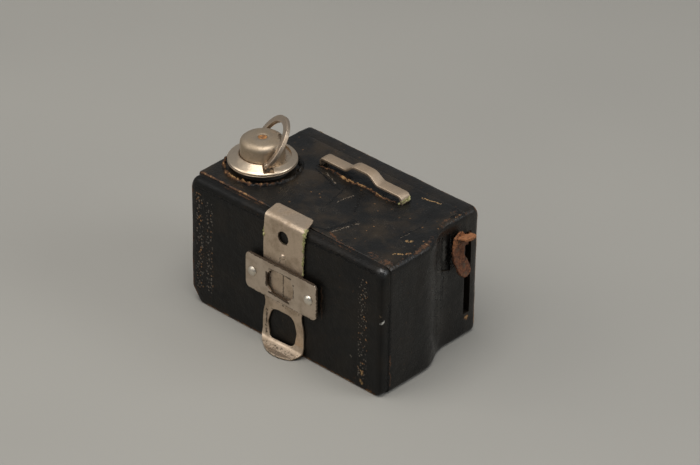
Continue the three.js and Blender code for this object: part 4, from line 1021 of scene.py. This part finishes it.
def bridge_strap():
    low, high = BRIDGE
    thick = 1.0
    half = (high.y - low.y) / 2
    middle_y = (low.y + high.y) / 2
    middle_x = (low.x + high.x) / 2
    deck = TOP + 2.5 + thick / 2
    crown = high.z - thick / 2
    corners = [(low.x + thick / 2, TOP - 1.8), (low.x + thick / 2, deck), (middle_x - 7.6, deck),
               (middle_x - 4.2, crown), (middle_x + 4.2, crown), (middle_x + 8.2, deck),
               (high.x - thick / 2, deck), (high.x - thick / 2, TOP - 1.8)]
    track = Track(soften(corners, (1.6, 2.4, 4.5, 4.5, 3.0, 1.6), 8))
    end = track.length[-1]
    outline = [(0, -half + 0.4), (3.4, -half), (end - 3.4, -half), (end, -half + 0.4), (end, half - 0.4),
               (end - 3.4, half), (3.4, half), (0, half - 0.4)]
    cuts = [(0, 0, end, 0.8), (1, -half, half, 1.2)]

    def place(co):
        x, z = track.at(co.x, co.z)
        rise = (z - deck) / max(crown - deck, 1e-6)
        crowned = 0.18 * (1 - (co.y / half) ** 2)
        return x, middle_y + co.y * (1 - 0.06 * max(rise, 0)), z + crowned

    return sheet("bridge_strap", outline, [], thick, 0.22, cuts, place)


def thumb_lever():
    low, high = span("shutter_lever")
    thick = 1.0
    root = LENS_HALF + 1.0 + thick / 2
    line = [(root + 3.0, 30.0), (root + 1.3, 34.8), (root + 0.1, 39.6), (root, 51.0)]
    track = Track(soften(line, (3, 3), 6))
    at = track.reach
    outline = [(16.2, at(32.4)), (17.4, at(31.4)), (19.2, at(31.0)), (20.8, at(31.5)), (21.8, at(33.0)),
               (21.9, at(35.4)), (21.2, at(37.6)), (20.0, at(38.8)), (19.5, at(40.2)), (19.7, at(43.6)),
               (24.6, at(43.8)), (24.6, at(46.2)), (20.2, at(46.4)), (19.9, at(49.0)), (19.2, at(49.9)),
               (17.6, at(50.5)), (15.9, at(49.8)), (14.4, at(48.2)), (13.3, at(45.6)), (13.1, at(43.0)),
               (13.7, at(40.2)), (14.3, at(37.2)), (15.0, at(34.6))]
    cuts = [(1, 0, track.length[-1], 0.6), (0, 13.0, 24.6, 0.7)]

    def place(co):
        x, z = track.at(co.y, -co.z)
        return x - 0.35 * max(0.0, co.x - 21.6), co.x, z

    plate = sheet("thumb_plate", outline, [], thick, 0.22, cuts, place)
    relief(plate, 0.28, 1.3, 4.4)
    relief(plate, 0.45, 4.0, 2.4)
    paint(plate, "bare", lambda p: np.maximum(
        1.0 * near_line(p, (root, 13, 46), (root, 19, 49.5), 4.4),
        0.7 * near_line(p, (48.5, 15, 30.5), (48.5, 20, 30.5), 1.4)))
    corners = [(root - 0.4, 15.2, 0.3), (47.0, 15.2, 0.8), (49.3, 16.3, 1.2), (50.5, 18.4, 1.4),
               (50.8, 20.8, 1.0), (49.8, 22.2, 0.9), (47.6, 22.5, 1.2), (root - 0.4, 20.2, 0.3)]
    cuts = [(0, root, high.x, 0.6), (1, 13.5, 22.4, 0.6)]
    tab = sheet("thumb_tab", rounded_outline(corners, 0.7), [], 1.2, 0.3, cuts,
                lambda co: (co.x, co.y, 48.1 + 0.16 * (co.x - root) + co.z))
    relief(tab, 0.22, 1.5, 8.4)
    relief(tab, 0.35, 5.0, 5.1)
    paint(tab, "bare", lambda p: 0.9 * rise(p[:, 2] - 47.6, 1.0))
    step = LENS_HALF - 1
    corners = [(low.x, 40.4), (step, 40.4), (step + 0.4, 43.5), (root + 0.3, 43.5), (root + 0.3, 46.3),
               (low.x, 46.3)]
    arm = block("lever_arm", rounded_outline([(a, b, 0.2) for a, b in corners], 1.0),
                rounded_run(24.55, 25.5, 0.2, 0.2, 0.5))
    paint(arm, "bare", clean)
    return plate, tab, arm


def crust(name, line, thick, seed):
    """A lumpy deposit along a line of points: uneven rings round it, about 0.3 mm apart."""
    rings = []
    for start, end in zip(line, line[1:]):
        start, end = Vector(start), Vector(end)
        along = (end - start).normalized()
        side = along.cross(Vector((0.3, 0.5, 0.8))).normalized()
        up = side.cross(along)
        count = max(2, round((end - start).length / 0.3))
        for k in range(count):
            at = start.lerp(end, k / count)
            ring = []
            for i in range(8):
                turn = 2 * pi * i / 8
                spoke = side * cos(turn) + up * sin(turn)
                lump = noise.noise((at + spoke * thick) * 1.6 + Vector((seed, seed, seed)))
                broad = noise.noise(at * 0.5 + Vector((seed, 0, 0)))
                ring.append(tuple(at + spoke * thick * max(0.12, 0.62 + 0.9 * lump + 0.9 * broad)))
            rings.append(ring)
    return loft(name, rings)


# -------- winding key


DISC_RISE = 3.6
RIM = DISC[1].z - DISC_RISE
DISC_RADIUS = DISC[1].x - KEY.x
HINGE_TURN = radians(-36)
RING_TURN = radians(54)
RECESS_RADIUS = 11.2
SEAT_RADIUS = 9.4
TORN_RADIUS = 14.9


def key_disc_turned():
    high = DISC[1]
    rim, edge = RIM, DISC_RADIUS
    profile = [
        (2.65, TOP + 0.3), (7.2, TOP + 0.3), (7.3, TOP + 0.5), (7.3, rim), (edge - 0.6, rim),
        (edge - 0.25, rim + 0.08), (edge, rim + 0.35), (edge, rim + 0.62), (edge - 0.20, rim + 0.74),
        (edge - 0.20, rim + 0.90), (edge, rim + 1.02), (edge - 0.02, rim + 1.4), (edge - 0.25, rim + 1.72),
        (edge - 0.7, rim + 1.98), (edge - 1.4, rim + 2.2), (9.9, high.z - 0.16), (9.55, high.z - 0.04),
        (9.25, high.z - 0.12), (9.12, high.z - 0.45), (9.12, rim + 1.9), (2.65, rim + 1.9),
        (2.65, TOP + 0.3),
    ]
    disc = lathe("key_disc_turned", profile, KEY, sides=112)
    turns = HINGE_TURN + np.linspace(0, pi, 40)
    recess = [(KEY.x + RECESS_RADIUS * cos(turn), KEY.y + RECESS_RADIUS * sin(turn)) for turn in turns]
    carve(disc, prism(recess, rim + 1.9, rim + 6, "Z"))
    for turn in (HINGE_TURN, HINGE_TURN + pi):
        across = Vector((cos(turn), sin(turn)))
        side = Vector((-across.y, across.x))
        corners = [
            KEY.xy + across * r + side * t for r, t in ((9, -1.9), (13.2, -1.9), (13.2, 2.3), (9, 2.3))]
        carve(disc, prism([tuple(c) for c in corners], rim + 1.5, rim + 6, "Z"))
    return disc


def key_hub_turned():
    low, high = span("key_hub")
    radius = high.x - KEY.x
    top = high.z
    knee = [(radius - 2.7 + 2.7 * cos(a), top - 2.5 + 2.3 * sin(a)) for a in np.linspace(0, pi / 2, 9)]
    profile = [
        (0.0, low.z), (radius + 0.05, low.z), (radius, low.z + 1), (radius, top - 3.0), *knee,
        (4.4, top - 0.08), (3.0, top + 0.05), (2.2, top + 0.06), (1.85, top - 0.1), (1.72, top - 0.5),
        (0.0, top - 0.55),
    ]
    hub = lathe("key_hub_turned", profile, KEY, sides=96)
    relief(hub, 0.12, 4.5, 2.2, lambda p: min(1, max(0, (p.z - low.z - 1) / 2)))
    return hub


def key_ring_band():
    """The bail as a flat band with rounded edges, hinged at its two feet and standing as in the frame."""
    radius, offset, band, thick = 11.0, 4.4, 2.7, 1.7
    start = -math.asin(offset / radius)
    foot = math.sqrt(radius ** 2 - offset ** 2)
    angles = np.linspace(start - 0.02, pi - start + 0.02, 60)
    outline = rounded_outline(rect((-band / 2, -thick / 2), (band / 2, thick / 2), 0.3), 0.6)
    rings = []
    for a in angles:
        rings.append([((radius + p.x) * cos(a), offset + (radius + p.x) * sin(a), p.y) for p in outline])
    ring = loft("key_ring_band", rings)
    profile = [(0, -1.15), (1.1, -1.15), (1.35, -0.9), (1.35, 0.9), (1.1, 1.15), (0, 1.15)]
    for side in (-1, 1):
        knob = lathe("knob", profile, (0, 0), "Z", 24)
        knob.data.transform(Matrix.Rotation(pi / 2, 4, "Y"))
        knob.data.transform(Matrix.Translation((side * foot * MM, 0, 0)))
        combine(ring, knob, "UNION")
    ring.data.transform(
        Matrix.Translation(Vector((KEY.x, KEY.y, DISC[1].z - 0.3)) * MM)
        @ Matrix.Rotation(HINGE_TURN, 4, "Z")
        @ Matrix.Rotation(RING_TURN, 4, "X")
    )
    return ring


# -------- torn leather


RIDGE_SECTION = ((-0.5, -0.25), (-0.42, 0.45), (-0.12, 1.0), (0.2, 0.8), (0.42, 0.3), (0.5, -0.25))


def ridge(name, line, width, height, seed, closed=False):
    """A lumpy raised lip along a line on the top: torn leather standing up at its edge."""
    count = len(line)
    rings = []
    for i, point in enumerate(line):
        after = line[(i + 1) % count] if closed or i < count - 1 else point
        before = line[i - 1] if closed or i else point
        along = Vector((after[0] - before[0], after[1] - before[1])).normalized()
        side = Vector((-along.y, along.x))
        wide = width * (0.8 + 0.7 * lump(*point, seed, 0.7))
        tall = height * (0.85 + 0.9 * lump(*point, seed + 5, 0.9))
        if not closed:
            taper = min(1, 0.25 + 4 * min(i, count - 1 - i) / count)
            wide, tall = wide * taper, tall * taper
        sway = 0.35 * lump(*point, seed + 9, 0.5)
        ring = []
        for across, up in RIDGE_SECTION:
            x = point[0] + side.x * (across * wide + sway)
            y = point[1] + side.y * (across * wide + sway)
            ring.append((x, y, TOP + up * tall))
        rings.append(ring)
    return loft(name, rings, closed)


def torn_ring():
    turns = np.linspace(0, 2 * pi, 161)[:-1]
    line = [(KEY.x + TORN_RADIUS * cos(turn), KEY.y + TORN_RADIUS * sin(turn)) for turn in turns]
    made = ridge("torn_ring", line, 2.2, 1.35, 3.0, closed=True)

    def worn(p):
        turn = np.arctan2(p[:, 1] - KEY.y, p[:, 0] - KEY.x)
        near = 0.5 + 0.5 * np.cos(turn - radians(255))
        return (0.2 + 1.0 * near) * (0.5 + 0.7 * rise(p[:, 2] - TOP - 0.3, 0.8))

    paint(made, "worn", worn)
    return made


def torn_line():
    line = [(x, BRIDGE[0].y - 0.4 + 0.5 * sin(x * 0.35) + 0.4 * lump(x, 2, 5, 0.6))
            for x in np.linspace(BRIDGE[0].x - 0.5, BRIDGE[1].x - 0.5, 90)]
    made = ridge("torn_line", line, 1.7, 0.8, 6.0)
    paint(made, "worn", lambda p: 0.75 + 0.65 * rise(p[:, 2] - TOP - 0.1, 0.5))
    return made


def torn_flap():
    """The strip of leather lifted by a scratch across the top."""
    line = [(16.4 + 2.9 * t, -22.6 + 11.2 * t) for t in np.linspace(0, 1, 30)]
    made = ridge("torn_flap", line, 1.3, 0.45, 12.0)
    paint(made, "worn", lambda p: 0.35 + 0.3 * rise(p[:, 2] - TOP, 0.4))
    return made


# -------- assembly


def build_box():
    # The top and the sides get separate copies of the leather, chosen below by which way each face points;
    # the top's copy is browner and dustier, as real wear and dust and also as painted sheen of the light on
    # the top.
    top_look = leather("top_leather_black", TOP_MARKS, tint=1.0, dust=0.75, shine=0.34, gloss=0.06)
    side_look = leather("side_leather_black", SIDE_MARKS, tint=0.15, dust=0.15, shine=0.27, gloss=0.09)
    skin = dress(body_leather(), "box", top_look, ["body_shell"])
    skin.data.materials.append(side_look)
    for face in skin.data.polygons:
        face.material_index = 0 if face.normal.z > 0.5 else 1
    front_look = leather("front_leather_black", tint=0.4, dust=0.35, shine=0.34, gloss=0.06)
    dress(front_leather(), "box", front_look, ["front_panel"])
    lid_look = leather("lid_leather_black", LID_MARKS, LID_STIPPLE, 0.25, 0.10, 0.19, polished=True)
    dress(lid_leather(), "lid", lid_look, ["back_lid"])
    torn = leather("torn_leather", tint=0.8, dust=0.6)
    for piece in (torn_ring(), torn_line(), torn_flap()):
        dress(piece, "box", torn, angle=60)


NICKEL = (0.62, 0.495, 0.375)
NICKEL_STAIN = (0.27, 0.195, 0.125)


def soil(obj, grime_and_shade=clean, green=clean):
    """Where soiling, painted shade and green deposits lie on a metal piece: numbers its material reads."""
    paint(obj, "grime_and_shade", grime_and_shade)
    paint(obj, "green", green)


def build_strip():
    look = metal("strip_nickel", NICKEL, NICKEL_STAIN, 0.44, 0.5, green=True, hair=0.02)
    strip = latch_strip_plate()
    middle = GUIDE_MIDDLE.z

    def green(p):
        return strongest(p, [
            ((10.7, -31, 24), (10.5, -31, 50), 0.9, 0.95), ((10.8, -31, 50), (10.6, -30, 57), 1.8, 1.1),
            ((-10.2, -31, 46), (-9.9, -31, 51), 1.0, 1.0), ((1.6, -31, 47.0), (-2.0, -31, 47.2), 0.7, 0.9)])

    def grime_and_shade(p):
        hole = np.hypot(p[:, 0] - STRIP_X + 0.2, p[:, 2] - HOLE_HEIGHT) - HOLE_RADIUS
        # The lip that bends out at the foot is painted darker.
        lip = 0.5 * rise(FACE - 1.6 - p[:, 1], 1.5) * (p[:, 2] < 5)
        return np.maximum.reduce([fade(hole, 0.7), lip, near_lines(p, [
            ((STRIP_X, 19), (STRIP_X, 33.6), 0.95, 0.85), ((STRIP_X, 33), (STRIP_X, 36), 0.8, 0.5),
            ((2.7, 24), (2.9, 31), 1.2, 0.45),
            # Along the inside of the guide plate's window: painted shadow of its walls on the strip.
            ((-6.6, middle - 4), (-6.4, middle + 4), 1.3, 0.8),
            ((-5.2, middle - 4.9), (4.0, middle - 5.4), 1.2, 0.7),
            ((-5.2, middle + 4.6), (5.0, middle + 4.4), 0.9, 0.5),
            ((-1.6, 38), (-1.2, 41.5), 0.8, 0.8), ((1.7, 38), (1.5, 41), 0.6, 0.6),
            ((-8.6, 3.5), (-8.4, 14), 1.6, 0.8), ((-7, 15.4), (4, 15.9), 1.2, 0.6),
            ((5, 1.6), (7.2, 5), 1.4, 0.5), ((9.9, 4), (10, 15), 1.0, 0.5),
            ((-9, 19.2), (9, 19.2), 1.7, 0.55),
            # Along the top edge of the guide plate: painted shadow between the plate and the strip.
            ((-9, GUIDE[1].z + 0.6), (9, GUIDE[1].z + 0.6), 1.5, 0.6)])])

    soil(strip, grime_and_shade, green)
    dress(strip, "latch", look, ["latch_strip"])
    dome = [(0, FACE - 1.6), (0.5, FACE - 1.55), (0.95, FACE - 1.3), (1.25, FACE - 0.85), (0, FACE - 0.8)]
    boss = lathe("strip_boss", dome, (-0.1, 41.2), "Y", 28)
    soil(boss)
    dress(boss, "latch", look)
    foot = BRIDGE[1].x + 0.1
    crusty = deposit("green_crust")
    for name, body, line, thick, seed in [
        ("crust_corner", "latch",
         [(10.4, -31.2, 51), (10.9, -31.3, 54.4), (10.6, -30.6, 56.1), (10.0, -28.4, 56.5)], 0.85, 2.0),
        ("crust_edge", "latch", [(10.4, -31.3, 37.8), (10.3, -31.3, 44), (10.5, -31.3, 51.6)], 0.42, 5.0),
        ("crust_left", "latch", [(-10.1, -31.2, 46.6), (-10.1, -31.2, 50.8)], 0.5, 9.0),
        ("crust_bridge", "box",
         [(foot - 1.6, BRIDGE[0].y - 0.1, TOP + 0.2), (foot, BRIDGE[0].y + 0.6, TOP + 0.5),
          (foot + 0.2, BRIDGE[1].y - 1.0, TOP + 1.2), (foot - 0.2, BRIDGE[1].y, TOP + 2.4)], 0.5, 4.0),
    ]:
        dress(crust(name, line, thick, seed), body, crusty, angle=60)


def build_guide():
    look = metal("guide_nickel", (0.60, 0.50, 0.40), NICKEL_STAIN, 0.42, 0.4, green=True, hair=0.03)
    plate = guide_plate()
    low, high = GUIDE
    middle = GUIDE_MIDDLE.z

    def grime_and_shade(p):
        x, z = p[:, 0], p[:, 2]
        away = np.minimum.reduce([x - low.x, high.x + 0.3 - x, z - low.z, high.z - z])
        edge = 1.1 * fade(away, 1.0) * np.where(z > middle + 4, 1.0, 0.7)
        return np.maximum(edge, near_lines(p, [
            # Painted shade along the four walls of the window.
            ((-7.2, middle - 3), (-7.2, middle + 2.6), 1.1, 1.2),
            ((-6.0, middle + 4.9), (5.4, middle + 5.2), 0.9, 0.9),
            ((6.8, middle - 3), (6.8, middle + 3), 0.9, 0.9),
            ((-5.8, middle - 5.4), (4.4, middle - 6.0), 1.0, 1.2)]))

    soil(plate, grime_and_shade)
    dress(plate, "lid", look, ["latch_guide_plate"])
    shiny = metal("rivet_metal", (0.72, 0.66, 0.56), NICKEL_STAIN, 0.34, 0.3)
    for side in ("left", "right"):
        inner = span(f"guide_rivet_{side}")[1].y
        centre = centre_of(f"guide_rivet_{side}")
        head = low.y - PLATE_LIFT
        back = high.y - PLATE_LIFT
        rivet = lathe(f"rivet_{side}", [
            (0, head - 1.2), (0.8, head - 1.1), (1.5, head - 0.8), (1.95, head - 0.4), (2.1, head),
            (1.1, head), (1.1, back), (2.1, back + 0.02), (2.1, FACE), (1.1, FACE), (1.1, inner), (0, inner),
        ], (centre.x, centre.z), "Y", 40)
        soil(rivet, lambda p: 0.8 * rise(p[:, 1] - head + 0.3, 0.3))
        dress(rivet, "lid", shiny, [f"guide_rivet_{side}"])


def build_bridge():
    strap = bridge_strap()
    look = metal("bridge_nickel", (0.52, 0.41, 0.305), (0.29, 0.22, 0.15), 0.56, 0.45, green=True, hair=0.0)
    low, high = BRIDGE
    soil(strap, lambda p: 0.8 * rise(TOP + 1.8 - p[:, 2], 1.5),
         lambda p: near_line(p, (high.x, low.y, TOP + 1.4), (high.x, high.y, TOP + 1.8), 1.5))
    dress(strap, "box", look, ["strap_bridge"])


def build_key():
    look = metal("key_nickel", (0.80, 0.65, 0.49), (0.44, 0.34, 0.235), 0.33, 0.45, green=True, hair=0.0)
    disc = key_disc_turned()

    def disc_painted_shade(p):
        # Painted shade under the disc, in the groove of its rim and round the seat of the hub.
        radius = np.hypot(p[:, 0] - KEY.x, p[:, 1] - KEY.y)
        height = p[:, 2] - RIM
        seat = fade(radius - SEAT_RADIUS, 0.9) * (height < 2.2)
        groove = fade(height - 0.82, 0.16) * (radius > DISC_RADIUS - 0.6)
        return np.maximum.reduce([seat * 0.9, groove * 0.9, rise(0.3 - height, 0.3)])

    soil(disc, disc_painted_shade)
    dress(disc, "winder", look, ["key_disc"], 30)
    hub = key_hub_turned()
    low, high = span("key_hub")
    hub_look = metal("hub_nickel", (0.54, 0.44, 0.33), (0.29, 0.225, 0.15), 0.48, 0.5, green=True, hair=0.0)

    def hub_grime(p):
        foot = 0.4 * fade(p[:, 2] - low.z - 0.4, 1.3)
        ends = (KEY.x + 3, KEY.y + 6.2, high.z - 0.6), (KEY.x + 6.5, KEY.y + 3, high.z - 1)
        rust = 0.9 * near_line(p, *ends, 2.4)
        pit = 0.9 * fade(np.hypot(p[:, 0] - KEY.x, p[:, 1] - KEY.y), 2.4)
        return np.maximum.reduce([foot, rust, pit])

    soil(hub, hub_grime, lambda p: 1.1 * near_line(
        p, (KEY.x + 7.6, KEY.y - 4.4, low.z + 3.4), (KEY.x + 7.2, KEY.y - 5.0, low.z + 5), 1.6))
    dress(hub, "winder", hub_look, ["key_hub"], 30)
    ring = key_ring_band()
    soil(ring, lambda p: np.maximum(
        0.5 * rise(RIM + 4.5 - p[:, 2], 2), 0.7 * near_line(p, (-26, -4, 74), (-22, 0, 70), 3.0)))
    ring_look = metal("ring_nickel", (0.58, 0.47, 0.365), (0.30, 0.22, 0.15), 0.42, 0.5)
    dress(ring, "bail", ring_look, ["key_ring"], 40)


def build_lever():
    rust = rusted("lever_rust")
    for piece in thumb_lever():
        dress(piece, "shutter", rust, ["shutter_lever"], 50)


def paint_frame():
    """Materials of the CAD pieces that keep their own shape."""
    looks = {
        "brass_parts": metal("old_brass", (0.46, 0.33, 0.13), (0.16, 0.10, 0.045), 0.42, 0.6),
        "steel_parts": metal("dull_steel", (0.36, 0.34, 0.32), (0.13, 0.09, 0.06), 0.42, 0.5),
        "plated_metal": metal("inner_nickel", NICKEL, NICKEL_STAIN, 0.36, 0.4),
        "rusty_steel": rusted("cap_screw_rust", (0.20, 0.075, 0.02), (0.42, 0.19, 0.06), (0.52, 0.28, 0.10)),
        "black_card": matt("dead_black", (0.012, 0.011, 0.010), (0.028, 0.025, 0.022), 0.86),
        "bare_wood": timber("bare_wood_grain", (0.14, 0.075, 0.035), (0.27, 0.155, 0.075)),
        "film_stock": matt("film_backing", (0.10, 0.025, 0.018), (0.16, 0.045, 0.03), 0.45, 2.5, 0.03),
        "clear_glass": glass("lens_glass", (0.92, 0.96, 0.95)),
        "ruby_glass": glass("ruby_glass_red", (0.55, 0.02, 0.015)),
        "covered_wood": leather("plain_leather"),
        # The collar under the disc is painted near black: painted shadow under the disc.
        "dark_collar": matt("collar_painted_shade", (0.010, 0.008, 0.006), (0.045, 0.032, 0.020), 0.7),
    }
    slots = {part["node"]: part["material_slot"] for part in frame["record"]["subparts"]}
    slots["key_collar"] = "dark_collar"
    for name, node in NODES.items():
        node.data.materials.clear()
        node.data.materials.append(looks[slots[name]])


def build_stage():
    size = 6.0
    corners = [(-size, -size, 0), (size, -size, 0), (size, size, 0), (-size, size, 0)]
    mesh = bpy.data.meshes.new("floor")
    mesh.from_pydata(corners, [], [(0, 1, 2, 3)])
    floor = placed("floor", mesh)
    s = Surface("paper_floor", 0.75)
    tone = s.noise(190, 2, 0.4)
    s.set("Base Color", s.mix(s.ramp(tone, 0.3, 0.7), (0.325, 0.313, 0.286), (0.345, 0.332, 0.302)))
    mesh.materials.append(s.material)


place_camera()
light_the_stage()
build_stage()
paint_frame()
build_box()
build_strip()
build_guide()
build_bridge()
build_key()
build_lever()

bpy.context.scene.view_settings.view_transform = "Standard"
